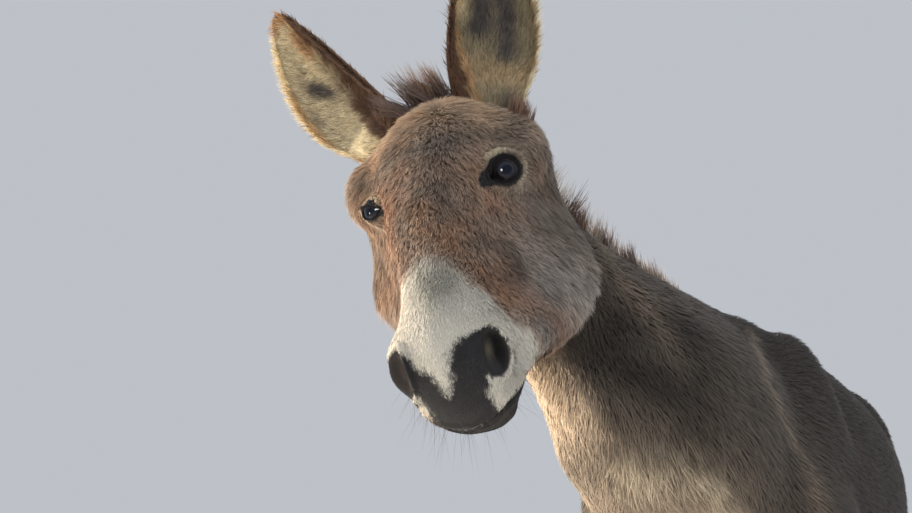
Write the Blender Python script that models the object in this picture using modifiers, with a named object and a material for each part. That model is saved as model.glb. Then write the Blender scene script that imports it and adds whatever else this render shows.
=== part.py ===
"""A donkey standing at rest, life size, its head lowered and turned a little to its left.

Metres, +Z up. The animal faces -Y and its left side is +X. The origin is on the ground,
under the middle of the whole figure.

The flesh is made whole: lofts through named sections, united and smoothed by a voxel
remesh, then reduced and parted into head, neck, trunk, tail, legs and hooves. Ears, eyes,
mane and forelock are solids of their own, each seated in a socket with a fine gap.
"""
import math

import bmesh
import bpy
import numpy as np
from mathutils import Matrix

# ---------------------------------------------------------------- driving dimensions
WITHERS_Y, WITHERS_Z = -0.22, 1.055
POLL = np.array([-0.172, -0.726, 1.177])  # the head's own origin, between the ears
HEAD_TURN = math.radians(15.4)    # to the animal's left
HEAD_TILT = math.radians(8.4)     # left eye higher
HEAD_SLOPE = math.radians(73.8)   # face below the horizontal
HEAD_LENGTH = 0.462
EYE_X, EYE_A, EYE_D = 0.0745, 0.1695, 0.0428   # centre of the eyeball in the head's frame
EYE_R = 0.0195
EAR_LENGTH = 0.262
EAR_WIDTH = 0.112
HOOF_Z = 0.058                    # coronet height
GAP = 0.0004                      # clearance between neighbouring pieces
VOXEL = 0.0085
FLESH_TRIANGLES = 4085

# Sections of the head across its length: distance down the face from the poll, then the
# front and back edges, and half widths with the depths they lie at.
#     a       front   back    wt     wm     dm     wl     dl      wb
HEAD = (
    (-0.040, 0.020, -0.045, 0.016, 0.036, -0.005, 0.034, -0.022, 0.018),
    (-0.020, 0.044, -0.078, 0.034, 0.070, -0.005, 0.068, -0.036, 0.036),
    (0.020, 0.070, -0.106, 0.052, 0.102, 0.004, 0.100, -0.050, 0.056),
    (0.065, 0.090, -0.128, 0.066, 0.122, 0.016, 0.117, -0.056, 0.072),
    (0.110, 0.100, -0.144, 0.072, 0.122, 0.022, 0.118, -0.068, 0.082),
    (0.155, 0.102, -0.152, 0.064, 0.100, 0.008, 0.134, -0.080, 0.088),
    (0.200, 0.099, -0.152, 0.054, 0.089, 0.000, 0.140, -0.082, 0.090),
    (0.245, 0.093, -0.146, 0.046, 0.080, 0.000, 0.130, -0.078, 0.088),
    (0.285, 0.087, -0.139, 0.041, 0.068, 0.002, 0.110, -0.080, 0.082),
    (0.320, 0.083, -0.118, 0.039, 0.061, 0.008, 0.085, -0.064, 0.064),
    (0.352, 0.080, -0.082, 0.039, 0.062, 0.014, 0.068, -0.036, 0.044),
    (0.384, 0.076, -0.068, 0.041, 0.063, 0.020, 0.060, -0.026, 0.039),
    (0.410, 0.067, -0.060, 0.037, 0.057, 0.014, 0.051, -0.022, 0.037),
    (0.432, 0.050, -0.053, 0.030, 0.047, 0.006, 0.043, -0.018, 0.032),
    (0.449, 0.030, -0.040, 0.019, 0.036, 0.000, 0.034, -0.014, 0.024),
    (0.458, 0.010, -0.018, 0.008, 0.014, -0.004, 0.012, -0.008, 0.009),
)
# Sections of the trunk along its length: position, top and bottom edges, half widths.
#     y       top    bottom  wt     wm     zm     wl     zl     wb
TRUNK = (
    (-0.490, 0.780, 0.650, 0.030, 0.060, 0.715, 0.056, 0.690, 0.035),
    (-0.465, 0.850, 0.590, 0.060, 0.118, 0.730, 0.114, 0.670, 0.070),
    (-0.400, 0.945, 0.530, 0.070, 0.159, 0.760, 0.150, 0.660, 0.086),
    (-0.310, 1.010, 0.505, 0.055, 0.175, 0.800, 0.160, 0.640, 0.088),
    (-0.220, 1.042, 0.490, 0.058, 0.182, 0.820, 0.164, 0.620, 0.090),
    (-0.120, 1.039, 0.480, 0.114, 0.195, 0.848, 0.166, 0.620, 0.092),
    (0.000, 1.035, 0.474, 0.142, 0.208, 0.848, 0.172, 0.630, 0.094),
    (0.130, 1.034, 0.476, 0.146, 0.211, 0.846, 0.174, 0.640, 0.096),
    (0.250, 1.037, 0.494, 0.134, 0.207, 0.850, 0.168, 0.660, 0.092),
    (0.340, 1.045, 0.530, 0.124, 0.200, 0.862, 0.160, 0.690, 0.086),
    (0.430, 1.036, 0.592, 0.098, 0.176, 0.866, 0.146, 0.730, 0.078),
    (0.500, 1.004, 0.662, 0.078, 0.150, 0.860, 0.128, 0.765, 0.066),
    (0.545, 0.955, 0.732, 0.050, 0.096, 0.845, 0.086, 0.788, 0.044),
    (0.562, 0.910, 0.782, 0.020, 0.045, 0.845, 0.040, 0.815, 0.020),
)
# Sections of the legs down their length: height, centre x and y, half width across, half
# depth ahead of the centre and behind it.
FORELEG = (
    (0.720, 0.112, -0.305, 0.052, 0.085, 0.085),
    (0.620, 0.112, -0.290, 0.056, 0.078, 0.084),
    (0.530, 0.108, -0.284, 0.049, 0.058, 0.062),
    (0.440, 0.104, -0.283, 0.040, 0.046, 0.046),
    (0.370, 0.102, -0.284, 0.036, 0.040, 0.037),
    (0.320, 0.101, -0.286, 0.040, 0.044, 0.038),
    (0.280, 0.100, -0.281, 0.033, 0.036, 0.034),
    (0.210, 0.099, -0.277, 0.027, 0.029, 0.031),
    (0.150, 0.099, -0.278, 0.029, 0.031, 0.036),
    (0.120, 0.099, -0.282, 0.033, 0.034, 0.041),
    (0.088, 0.099, -0.293, 0.030, 0.033, 0.034),
    (0.066, 0.099, -0.302, 0.037, 0.041, 0.038),
    (0.054, 0.099, -0.306, 0.038, 0.044, 0.038),
    (0.000, 0.099, -0.313, 0.044, 0.056, 0.040),
)
HINDLEG = (
    (0.800, 0.112, 0.400, 0.078, 0.150, 0.130),
    (0.700, 0.120, 0.385, 0.076, 0.138, 0.122),
    (0.620, 0.121, 0.380, 0.064, 0.110, 0.090),
    (0.550, 0.118, 0.400, 0.052, 0.078, 0.064),
    (0.490, 0.114, 0.430, 0.042, 0.056, 0.050),
    (0.440, 0.110, 0.458, 0.037, 0.046, 0.052),
    (0.400, 0.107, 0.470, 0.039, 0.047, 0.050),
    (0.350, 0.105, 0.468, 0.034, 0.040, 0.038),
    (0.280, 0.104, 0.458, 0.029, 0.033, 0.035),
    (0.200, 0.103, 0.450, 0.028, 0.031, 0.034),
    (0.150, 0.103, 0.446, 0.030, 0.033, 0.038),
    (0.120, 0.103, 0.442, 0.033, 0.035, 0.042),
    (0.088, 0.103, 0.430, 0.029, 0.032, 0.033),
    (0.066, 0.103, 0.420, 0.036, 0.040, 0.037),
    (0.054, 0.103, 0.416, 0.037, 0.043, 0.038),
    (0.000, 0.103, 0.410, 0.042, 0.053, 0.039),
)
# How far each foot stands ahead of (-) or behind (+) the square stance.
STEP = {("fore", 1): -0.020, ("fore", -1): 0.018, ("hind", 1): 0.022, ("hind", -1): -0.045}


# ---------------------------------------------------------------- curves and lofts
def spline(t, keys, values):
    """A smooth curve through values at keys, read at t."""
    k = np.asarray(keys, float)
    v = np.asarray(values, float)
    if v.ndim == 1:
        v = v[:, None]
    h = np.diff(k)[:, None]
    d = np.diff(v, axis=0) / h
    m = np.concatenate([d[:1], (d[:-1] * h[1:] + d[1:] * h[:-1]) / (h[1:] + h[:-1]), d[-1:]])
    t = np.atleast_1d(np.asarray(t, float))
    i = np.clip(np.searchsorted(k, t, side="right") - 1, 0, len(k) - 2)
    w = h[i]
    u = (t - k[i])[:, None] / w
    return ((2 * u**3 - 3 * u**2 + 1) * v[i] + (u**3 - 2 * u**2 + u) * w * m[i]
            + (3 * u**2 - 2 * u**3) * v[i + 1] + (u**3 - u**2) * w * m[i + 1])


def outline(top, bottom, wt, wm, zm, wl, zl, wb, count):
    """A closed body section, the same on both sides, from its top round to its bottom."""
    h = top - bottom
    half = np.array([
        (0, top), (wt * 0.62, top - 0.012 * h - 0.10 * wt), (wt, top - 0.05 * h - 0.22 * wt),
        (wm, zm), (wl, zl), (wb, bottom + 0.05 * h + 0.20 * wb),
        (wb * 0.6, bottom + 0.01 * h + 0.08 * wb), (0, bottom)])
    whole = np.concatenate([half, (half[1:-1] * (-1, 1))[::-1]])
    p = np.concatenate([whole[-3:], whole, whole[:4]])
    k = np.concatenate([[0], np.cumsum(np.sqrt(np.linalg.norm(np.diff(p, axis=0), axis=1)))])
    return spline(np.linspace(k[3], k[3 + len(whole)], count, endpoint=False), k, p)


def loft(name, centres, across, up, rings, collection):
    """A closed mesh through rings of (across, up) points round each centre."""
    rows, count = rings.shape[:2]
    bm = bmesh.new()
    verts = [[bm.verts.new(c + p[0] * a + p[1] * b) for p in ring]
             for c, a, b, ring in zip(centres, across, up, rings)]
    for row, after in zip(verts, verts[1:]):
        for j in range(count):
            k = (j + 1) % count
            bm.faces.new((row[j], row[k], after[k]))
            bm.faces.new((row[j], after[k], after[j]))
    for row in (verts[0], verts[-1]):
        middle = bm.verts.new(sum((np.array(v.co) for v in row), np.zeros(3)) / count)
        for j in range(count):
            bm.faces.new((row[j], row[(j + 1) % count], middle))
    bmesh.ops.recalc_face_normals(bm, faces=bm.faces)
    if bm.calc_volume(signed=True) < 0:
        bmesh.ops.reverse_faces(bm, faces=bm.faces)
    mesh = bpy.data.meshes.new(name)
    bm.to_mesh(mesh)
    bm.free()
    obj = bpy.data.objects.new(name, mesh)
    collection.objects.link(obj)
    return obj


def ball(name, centre, radii, axes, collection, grow=0.0):
    """An ellipsoid with its radii along the columns of axes."""
    bpy.ops.mesh.primitive_uv_sphere_add(segments=16, ring_count=9, radius=1)
    obj = bpy.context.object
    obj.name = name
    for held in list(obj.users_collection):
        held.objects.unlink(obj)
    collection.objects.link(obj)
    scaled = np.eye(4)
    scaled[:3, :3] = np.asarray(axes) * (np.asarray(radii) + grow)
    scaled[:3, 3] = centre
    obj.data.transform(Matrix(scaled.tolist()))
    if np.linalg.det(scaled[:3, :3]) < 0:
        obj.data.flip_normals()
    return obj


def evaluated(obj):
    graph = bpy.context.evaluated_depsgraph_get()
    return bpy.data.meshes.new_from_object(obj.evaluated_get(graph))


def cut(obj, cutter, operation="DIFFERENCE"):
    modifier = obj.modifiers.new("Cut", "BOOLEAN")
    modifier.operation = operation
    modifier.solver = "EXACT"
    modifier.object = cutter
    bpy.context.view_layer.update()
    mesh = evaluated(obj)
    obj.modifiers.remove(modifier)
    obj.data = mesh


def twin(obj, name, collection):
    copy = bpy.data.objects.new(name, obj.data.copy())
    collection.objects.link(copy)
    return copy


def helper(obj):
    obj.hide_render = True
    obj.display_type = "WIRE"
    return obj


# ---------------------------------------------------------------- the head's frame
def head_axes():
    """Columns: the head's left, down the face, and out of its front."""
    base = np.array([(1, 0, 0), (0, -math.cos(HEAD_SLOPE), -math.sin(HEAD_SLOPE)),
                     (0, -math.sin(HEAD_SLOPE), math.cos(HEAD_SLOPE))]).T
    c, s = math.cos(HEAD_TILT), math.sin(HEAD_TILT)
    tilt = np.array([(c, 0, -s), (0, 1, 0), (s, 0, c)])
    c, s = math.cos(HEAD_TURN), math.sin(HEAD_TURN)
    turn = np.array([(c, -s, 0), (s, c, 0), (0, 0, 1)])
    return turn @ tilt @ base


HEAD_AXES = head_axes()


def at_head(x, a, d):
    return POLL + HEAD_AXES @ np.array((x, a, d))


def eye_axes(side):
    """The way an eye looks and the line of its lids, in the head's frame."""
    gaze = np.array((side * 0.75, 0.12, 0.65))
    gaze /= np.linalg.norm(gaze)
    along = np.array((side * -0.30, 0.93, 0.18))
    along -= (along @ gaze) * gaze
    return gaze, along / np.linalg.norm(along)


def ease(x, low, high):
    u = min(max((x - low) / (high - low), 0.0), 1.0)
    return u * u * (3 - 2 * u)


def skew(a, d):
    """The jaw and lips sit a few millimetres towards the animal's left."""
    return 0.022 * ease(a, 0.18, 0.27) * (1 - ease(a, 0.33, 0.40)) * (1 - ease(d, -0.05, 0.05)) + 0.009 * ease(a, 0.38, 0.43)


def head_loft(collection):
    keys = np.array(HEAD)
    a = np.linspace(keys[0, 0], keys[-1, 0], 60)
    rings = np.array([outline(*row, 44) for row in spline(a, keys[:, 0], keys[:, 1:])])
    along = HEAD_AXES[:, 1]
    centres = POLL + a[:, None] * along
    ones = np.ones((len(a), 1))
    obj = loft("head_mass", centres, ones * HEAD_AXES[:, 0], ones * HEAD_AXES[:, 2], rings, collection)
    # The muzzle ends on a slant: the upper lip reaches past the lower one.
    for v in obj.data.vertices:
        local = HEAD_AXES.T @ (np.array(v.co) - POLL)
        s = min(max((local[1] - 0.36) / 0.09, 0), 1)
        local[0] += skew(local[1], local[2])
        local[1] += 0.28 * local[2] * s * s * (3 - 2 * s)
        v.co = POLL + HEAD_AXES @ local
    return obj


def neck_curves():
    """The crest, the throat, half widths and the way across, from the trunk up to the head."""
    crest = [(0, -0.10, 1.022), (0, -0.22, 1.046), (-0.008, -0.34, 1.032), (-0.035, -0.46, 1.038),
             (-0.085, -0.57, 1.085), tuple(at_head(0, -0.035, -0.045)), tuple(at_head(0, 0.0, 0.02))]
    throat = [(0, -0.36, 0.560), (0, -0.465, 0.635), (-0.012, -0.572, 0.722), (-0.050, -0.636, 0.800),
              (-0.108, -0.634, 0.885), tuple(at_head(0, 0.185, -0.125)), tuple(at_head(0, 0.150, -0.06))]
    half = (0.140, 0.140, 0.134, 0.120, 0.103, 0.100, 0.082)
    return crest, throat, half


def low_share(s):
    """Breadth of the neck's lower edge against its middle: full at the chest, lean under the throat."""
    return np.interp(s, (0, 0.17, 0.33, 0.50, 0.67, 0.83, 1.0), (0.74, 0.78, 0.86, 0.44, 0.48, 0.70, 0.74))


def neck_loft(collection):
    crest, throat, half = neck_curves()
    k = np.linspace(0, 1, len(crest))
    s = np.linspace(0, 1, 34)
    top, low, wide = spline(s, k, crest), spline(s, k, throat), spline(s, k, half)[:, 0]
    blend = (s * s * (3 - 2 * s))[:, None]
    across = (1 - blend) * np.array((1.0, 0, 0)) + blend * HEAD_AXES[:, 0]
    up = top - low
    h = np.linalg.norm(up, axis=1) / 2
    up /= 2 * h[:, None]
    across -= (across * up).sum(1)[:, None] * up
    across /= np.linalg.norm(across, axis=1)[:, None]
    rings = np.array([outline(x, -x, w * 0.34, w * 0.78, 0.34 * x, w, -0.22 * x, w * b, 40)
                      for x, w, b in zip(h, wide, low_share(s))])
    return loft("neck_mass", (top + low) / 2, across, up, rings, collection)


def trunk_loft(collection):
    keys = np.array(TRUNK)
    y = np.linspace(keys[0, 0], keys[-1, 0], 60)
    rings = np.array([outline(*row, 48) for row in spline(y, keys[:, 0], keys[:, 1:])])
    ones = np.ones((len(y), 1))
    return loft("trunk_mass", y[:, None] * np.array((0, 1.0, 0)), ones * np.array((1.0, 0, 0)),
                ones * np.array((0, 0, 1.0)), rings, collection)


def leg_line(kind, side):
    """The leg's sections with the foot's step blended in below the body."""
    keys = np.array(FORELEG if kind == "fore" else HINDLEG)
    high = 0.60 if kind == "fore" else 0.66
    share = np.clip((high - keys[:, 0]) / (high - 0.10), 0, 1)
    keys[:, 1] *= side
    keys[:, 2] += STEP[kind, side] * share
    return keys


def leg_loft(kind, side, collection, grow=0.0):
    keys = leg_line(kind, side)[::-1]
    z = np.linspace(keys[0, 0], keys[-1, 0], 46)
    turns = np.arange(24) * 2 * math.pi / 24
    rings = []
    for x, y, wide, ahead, behind in spline(z, keys[:, 0], keys[:, 1:]):
        c, s = np.cos(turns), np.sin(turns)
        rings.append(np.stack([x + (wide + grow) * c, y + (np.where(s > 0, behind, ahead) + grow) * s], 1))
    ones = np.ones((len(z), 1))
    return loft(f"{kind}_mass", z[:, None] * np.array((0, 0, 1.0)), ones * np.array((1.0, 0, 0)),
                ones * np.array((0, 1.0, 0)), np.array(rings), collection)


def leg_envelope(kind, side, grow, collection):
    """A dome over the top of a leg, reaching below the ground: the parting between leg and trunk."""
    keys = leg_line(kind, side)[::-1]
    top, x0, y0, rx, ry = ((0.690, 0.150, -0.290, 0.118, 0.118) if kind == "fore" else
                           (0.800, 0.160, 0.385, 0.125, 0.150))
    z = np.concatenate([[-0.08, 0.42], 0.47 + (top - 0.47) * np.sin(np.linspace(0.12, 1, 6) * math.pi / 2)])
    rings, centres = [], []
    turns = np.arange(14) * 2 * math.pi / 14
    for height in z:
        _, lx, ly, wide, ahead, behind = [height, *spline(max(height, 0.0), keys[:, 0], keys[:, 1:])[0]]
        s = np.clip((height - 0.42) / 0.08, 0, 1)
        s = s * s * (3 - 2 * s)
        dome = math.sqrt(max(1 - (max(height - 0.52, 0) / (top - 0.52)) ** 2, 0.0004))
        cx, cy = (1 - s) * lx + s * side * x0, (1 - s) * ly + s * y0
        wx, wy = (1 - s) * 0.075 + s * rx * dome, (1 - s) * 0.085 + s * ry * dome
        rings.append(np.stack([cx + (wx + grow) * np.cos(turns), cy + (wy + grow) * np.sin(turns)], 1))
        centres.append((0, 0, height + (grow if height > 0.6 else 0)))
    ones = np.ones((len(z), 1))
    return loft("leg_parting", np.array(centres), ones * np.array((1.0, 0, 0)),
                ones * np.array((0, 1.0, 0)), np.array(rings), collection)


def tail_loft(name, points, radii, collection, grow=0.0):
    points, radii = np.array(points), np.array(radii)
    k = np.linspace(0, 1, len(points))
    s = np.linspace(0, 1, 9)
    line, r = spline(s, k, points), spline(s, k, radii)
    way = np.gradient(line, axis=0)
    way /= np.linalg.norm(way, axis=1)[:, None]
    across = np.tile((1.0, 0, 0), (len(s), 1))
    up = np.cross(way, across)
    up /= np.linalg.norm(up, axis=1)[:, None]
    turns = np.arange(10) * 2 * math.pi / 10
    rings = np.array([np.stack([(a + grow) * np.cos(turns), (b + grow) * np.sin(turns)], 1) for a, b in r])
    ends = line.copy()
    ends[0] -= way[0] * grow
    ends[-1] += way[-1] * grow
    return loft(name, ends, across, up, rings, collection)


# ---------------------------------------------------------------- pieces seated in the flesh
EARS = {  # root across the head, the way it points, the way it opens, its bow outwards, its breadth
    1: (0.060, (0.37, -1.0, 0.80), (0.45, 0.60, 0.66), 0.011, 1.13),
    -1: (-0.074, (-0.66, -1.0, 0.78), (-0.22, 0.66, 0.70), 0.026, 1.0),
}


def ear_loft(side, name, collection, grow=0.0, reach=1.0):
    """A leaf-shaped ear: a solid root that opens into a hollow blade with a thin rim."""
    root, *aims, swell, breadth = EARS[side]
    way, face = (HEAD_AXES @ np.array(v) for v in aims)
    way /= np.linalg.norm(way)
    face -= (face @ way) * way
    face /= np.linalg.norm(face)
    wide = np.cross(way, face)
    if wide @ HEAD_AXES[:, 0] < 0:
        wide = -wide
    t = np.concatenate([np.linspace(-0.12, 0.22, 4), np.linspace(0.31, 1.0, 9)])
    t = t[t <= reach]
    #           t:   -0.12  0.00   0.10   0.22   0.40   0.58   0.74   0.87   0.95   1.00
    keys = (-0.12, 0.0, 0.10, 0.22, 0.40, 0.58, 0.74, 0.87, 0.95, 1.0)
    half = spline(t, keys, np.array((0.58, 0.70, 0.80, 0.93, 0.98, 0.89, 0.70, 0.47, 0.29, 0.09)) * breadth * EAR_WIDTH / 2)[:, 0]
    back = spline(t, keys, (0.024, 0.029, 0.032, 0.034, 0.032, 0.028, 0.022, 0.015, 0.009, 0.004))[:, 0]
    front = spline(t, keys, (0.022, 0.024, 0.014, -0.010, -0.019, -0.018, -0.013, -0.007, -0.003, 0.0))[:, 0]
    base = at_head(root, 0.012, 0.022)
    centres, rings = [], []
    u = np.linspace(-1, 1, 7)
    for s, w, b, f in zip(t, half, back, front):
        bend = 0.010 * math.sin(math.pi * min(max(s, 0), 1))
        bow = swell * math.sin(math.pi * min(max(s, 0), 1) ** 0.9)
        centres.append(base + way * (s * EAR_LENGTH) - face * bend + wide * bow * side)
        outer = np.stack([(w + grow) * np.sin(u * math.pi / 2), -(b + grow) * np.cos(u * math.pi / 2) - 0.0012 - grow], 1)
        inner = np.stack([(w + grow) * np.sin(u * math.pi / 2) * 0.985,
                          (f + grow) * np.cos(u * math.pi / 2) + 0.0018 + grow], 1)[::-1]
        rings.append(np.concatenate([outer, inner]))
    centres = np.array(centres)
    centres[0] -= way * grow
    ones = np.ones((len(centres), 1))
    return loft(name, centres, ones * wide, ones * face, np.array(rings), collection)


def dock_loft(name, collection, grow=0.0):
    """The fleshy part of the tail, rooted in the rump and hanging down behind it."""
    points = [(0, 0.525, 0.948), (0, 0.566, 0.946), (0, 0.596, 0.905), (0, 0.606, 0.820), (0, 0.602, 0.720)]
    radii = [(0.031, 0.028), (0.030, 0.027), (0.026, 0.024), (0.022, 0.020), (0.0175, 0.0165)]
    return tail_loft(name, points, radii, collection, grow)


def crest_strip(name, collection, grow=0.0):
    """The short upright mane: a tapering wall along the crest of the neck, sunk a little into it."""
    crest, throat, _ = neck_curves()
    k = np.linspace(0, 1, len(crest))
    s = np.linspace(0.20, 0.93, 15)
    top, low = spline(s, k, crest), spline(s, k, throat)
    up = (top - low) / np.linalg.norm(top - low, axis=1)[:, None]
    way = np.gradient(top, axis=0)
    way /= np.linalg.norm(way, axis=1)[:, None]
    up -= (up * way).sum(1)[:, None] * way
    up /= np.linalg.norm(up, axis=1)[:, None]
    across = np.cross(way, up)
    rise = np.interp(s, (0.20, 0.26, 0.50, 0.70, 0.85, 0.93), (0.004, 0.018, 0.038, 0.068, 0.072, 0.050))
    rings = []
    for r in rise:
        rings.append(np.array([(-0.011 - grow, -0.014 - grow), (0.011 + grow, -0.014 - grow),
                               (0.0095 + grow, r * 0.5), (0.004 + grow, r + grow), (-0.004 - grow, r + grow),
                               (-0.0095 - grow, r * 0.5)]))
    ends = top.copy()
    ends[0] -= way[0] * grow
    ends[-1] += way[-1] * grow
    return loft(name, ends, across, up, np.array(rings), collection)


def forelock_loft(name, collection, grow=0.0):
    """The tuft between the ears, leaning forward and to the animal's right."""
    points = [at_head(0.010, 0.030, 0.048), at_head(0.004, 0.008, 0.064), at_head(-0.010, -0.012, 0.077),
              at_head(-0.028, -0.032, 0.087), at_head(-0.048, -0.046, 0.093)]
    radii = [(0.024, 0.012), (0.034, 0.017), (0.034, 0.017), (0.024, 0.012), (0.007, 0.005)]
    return tail_loft(name, points, radii, collection, grow)


# ---------------------------------------------------------------- build
for old in list(bpy.data.objects):
    bpy.data.objects.remove(old, do_unlink=True)

donkey = bpy.data.collections.new("donkey")
tools = bpy.data.collections.new("donkey_cutters")
bpy.context.scene.collection.children.link(donkey)
bpy.context.scene.collection.children.link(tools)

masses = [head_loft(tools), neck_loft(tools), trunk_loft(tools)]
for side in (1, -1):
    masses.append(leg_loft("fore", side, tools))
    masses.append(leg_loft("hind", side, tools))
    # brow over the eye, nostril wing, cheek
    masses.append(ball("brow", at_head(side * 0.091, 0.114, 0.024), (0.040, 0.054, 0.042), HEAD_AXES, tools))
    masses.append(ball("nostril_wing", at_head(side * 0.0415 + 0.0015, 0.390, 0.034), (0.024, 0.036, 0.031), HEAD_AXES, tools))
    # shoulder blade with the upper arm, withers, hip and thigh
    slope = math.radians(24)
    lean = np.array([(1, 0, 0), (0, math.cos(slope), math.sin(slope)), (0, -math.sin(slope), math.cos(slope))])
    masses.append(ball("shoulder", (side * 0.111 + 0.007, -0.300, 0.790), (0.064, 0.105, 0.200), lean, tools))
    masses.append(ball("withers", (side * 0.044, -0.270, 0.905), (0.080, 0.150, 0.100), np.eye(3), tools))
    masses.append(ball("hip", (side * 0.120, 0.300, 0.885), (0.086, 0.135, 0.128), np.eye(3), tools))
    masses.append(ball("upper_arm", (side * 0.111 + 0.007, -0.360, 0.690), (0.062, 0.105, 0.100), np.eye(3), tools))
    masses.append(ball("thigh", (side * 0.108, 0.405, 0.760), (0.078, 0.145, 0.190), np.eye(3), tools))

bpy.ops.object.select_all(action="DESELECT")
for obj in masses:
    obj.select_set(True)
bpy.context.view_layer.objects.active = masses[0]
bpy.ops.object.join()
flesh = masses[0]
flesh.name = "flesh"
united = flesh.modifiers.new("United", "REMESH")
united.mode = "VOXEL"
united.voxel_size = VOXEL
soft = flesh.modifiers.new("Soft", "SMOOTH")
soft.factor = 0.5
soft.iterations = 9
flesh.data = evaluated(flesh)
flesh.modifiers.clear()

# Soles: the surface is trimmed flat at the ground.
bpy.ops.mesh.primitive_cube_add(size=1)
ground = bpy.context.object
ground.name = "ground"
for held in list(ground.users_collection):
    held.objects.unlink(ground)
tools.objects.link(helper(ground))
ground.data.transform(Matrix(((3, 0, 0, 0), (0, 3, 0, 0), (0, 0, 0.2, -0.1 + 0.0035), (0, 0, 0, 1))))

# Triangles are kept where the face is.
group = flesh.vertex_groups.new(name="coarse")
for v in flesh.data.vertices:
    local = HEAD_AXES.T @ (np.array(v.co) - POLL)
    face = math.exp(-max(0.0, 0.05 - local[1]) / 0.05) if local[1] > -0.06 and local[2] > -0.165 and v.co.y < -0.60 else 0.0
    foot = 1.0 if v.co.z < 0.10 else 0.0
    group.add([v.index], max(0.02, 1.0 - max(0.28 * face, 0.10 * foot)), "REPLACE")
whole = sum(len(p.vertices) - 2 for p in flesh.data.polygons)
reduce = flesh.modifiers.new("Reduce", "DECIMATE")
reduce.ratio = FLESH_TRIANGLES / whole
reduce.vertex_group = "coarse"
reduce.vertex_group_factor = 1.0
reduce.use_collapse_triangulate = True
flesh.data = evaluated(flesh)
flesh.modifiers.clear()
cut(flesh, ground)


def parting(name, point, normal, size, collection, thick=0.0007):
    """A thin slab across the flesh at a point, square to a direction."""
    bpy.ops.mesh.primitive_cube_add(size=1)
    obj = bpy.context.object
    obj.name = name
    for held in list(obj.users_collection):
        held.objects.unlink(obj)
    collection.objects.link(obj)
    n = np.asarray(normal, float)
    n /= np.linalg.norm(n)
    side = np.cross(n, (0.31, 0.17, 0.93) if abs(n[2]) < 0.9 else (0, 1, 0))
    side /= np.linalg.norm(side)
    placed = np.eye(4)
    placed[:3, 0], placed[:3, 1], placed[:3, 2] = side * size[0], np.cross(n, side) * size[1], n * thick
    placed[:3, 3] = point
    obj.data.transform(Matrix(placed.tolist()))
    if np.linalg.det(placed[:3, :3]) < 0:
        obj.data.flip_normals()
    return obj


# Legs are parted under domes, so each keeps its own shoulder or thigh.
pieces = {}
for kind in ("fore", "hind"):
    for side in (1, -1):
        word = "left" if side > 0 else "right"
        leg = twin(flesh, f"{kind}leg_{word}", donkey)
        cut(leg, helper(leg_envelope(kind, side, 0.0, tools)), "INTERSECT")
        pieces[leg.name] = leg
for kind in ("fore", "hind"):
    for side in (1, -1):
        cut(flesh, helper(leg_envelope(kind, side, GAP, tools)))

# Sockets for the eyes, ears, mane and forelock.
for side in (1, -1):
    centre = at_head(side * EYE_X, EYE_A, EYE_D)
    cut(flesh, helper(ball("eye_socket", centre, (EYE_R,) * 3, HEAD_AXES, tools, GAP)))
    gaze, along = eye_axes(side)
    frame = np.stack([along, np.cross(gaze, along), gaze], 1)
    cut(flesh, helper(ball("eye_opening", centre + HEAD_AXES @ gaze * 0.0185, (0.0175, 0.0135, 0.0175),
                           HEAD_AXES @ frame, tools)))
    cut(flesh, helper(ear_loft(side, "ear_socket", tools, GAP, 0.31)))
cut(flesh, helper(crest_strip("mane_socket", tools, GAP)))
cut(flesh, helper(forelock_loft("forelock_socket", tools, GAP)))

# Head from neck, neck from trunk, tail from trunk.
nape, latch = at_head(0, -0.040, -0.045), at_head(0, 0.235, -0.128)
cut(flesh, helper(parting("head_parting", (nape + latch) / 2, np.cross(latch - nape, HEAD_AXES[:, 0]),
                          (0.5, 0.5), tools)))
base_low, base_high = np.array((0, -0.520, 0.610)), np.array((0, -0.215, 1.090))
cut(flesh, helper(parting("neck_parting", (base_low + base_high) / 2,
                          np.cross(base_high - base_low, (1, 0, 0)), (0.66, 0.66), tools)))
cut(flesh, helper(dock_loft("tail_socket", tools, GAP)))


def bodies_of(obj):
    """The separate closed shells of an object's mesh, largest first, as (centre, mesh)."""
    bm = bmesh.new()
    bm.from_mesh(obj.data)
    left, found = set(bm.verts), []
    while left:
        seed = left.pop()
        held, edge = {seed}, [seed]
        while edge:
            for e in edge.pop().link_edges:
                for v in e.verts:
                    if v not in held:
                        held.add(v)
                        edge.append(v)
        left -= held
        found.append(held)
    found.sort(key=lambda held: (-len(held), min(v.index for v in held)))
    out = []
    for held in found:
        part = bmesh.new()
        new = {v: part.verts.new(v.co) for v in sorted(held, key=lambda v: v.index)}
        for f in bm.faces:
            if f.verts[0] in held:
                part.faces.new([new[v] for v in f.verts])
        if len(part.faces) > 11:
            mesh = bpy.data.meshes.new("body")
            part.to_mesh(mesh)
            out.append((np.mean([np.array(v.co) for v in part.verts], axis=0), mesh))
        part.free()
    bm.free()
    return out


def add(name, mesh):
    obj = bpy.data.objects.new(name, mesh)
    donkey.objects.link(obj)
    return obj


# The flesh falls into head, neck and trunk; each is known by where it lies.
marks = {"head": at_head(0, 0.2, 0), "neck": np.array((-0.05, -0.47, 0.93)),
         "trunk": np.array((0, 0.05, 0.76))}
for centre, mesh in bodies_of(flesh):
    name = min(marks, key=lambda key: np.linalg.norm(marks[key] - centre))
    if name in pieces:
        print("stray piece", name, centre, len(mesh.vertices))
        continue
    pieces[name] = add(name, mesh)
bpy.data.objects.remove(flesh, do_unlink=True)

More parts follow.
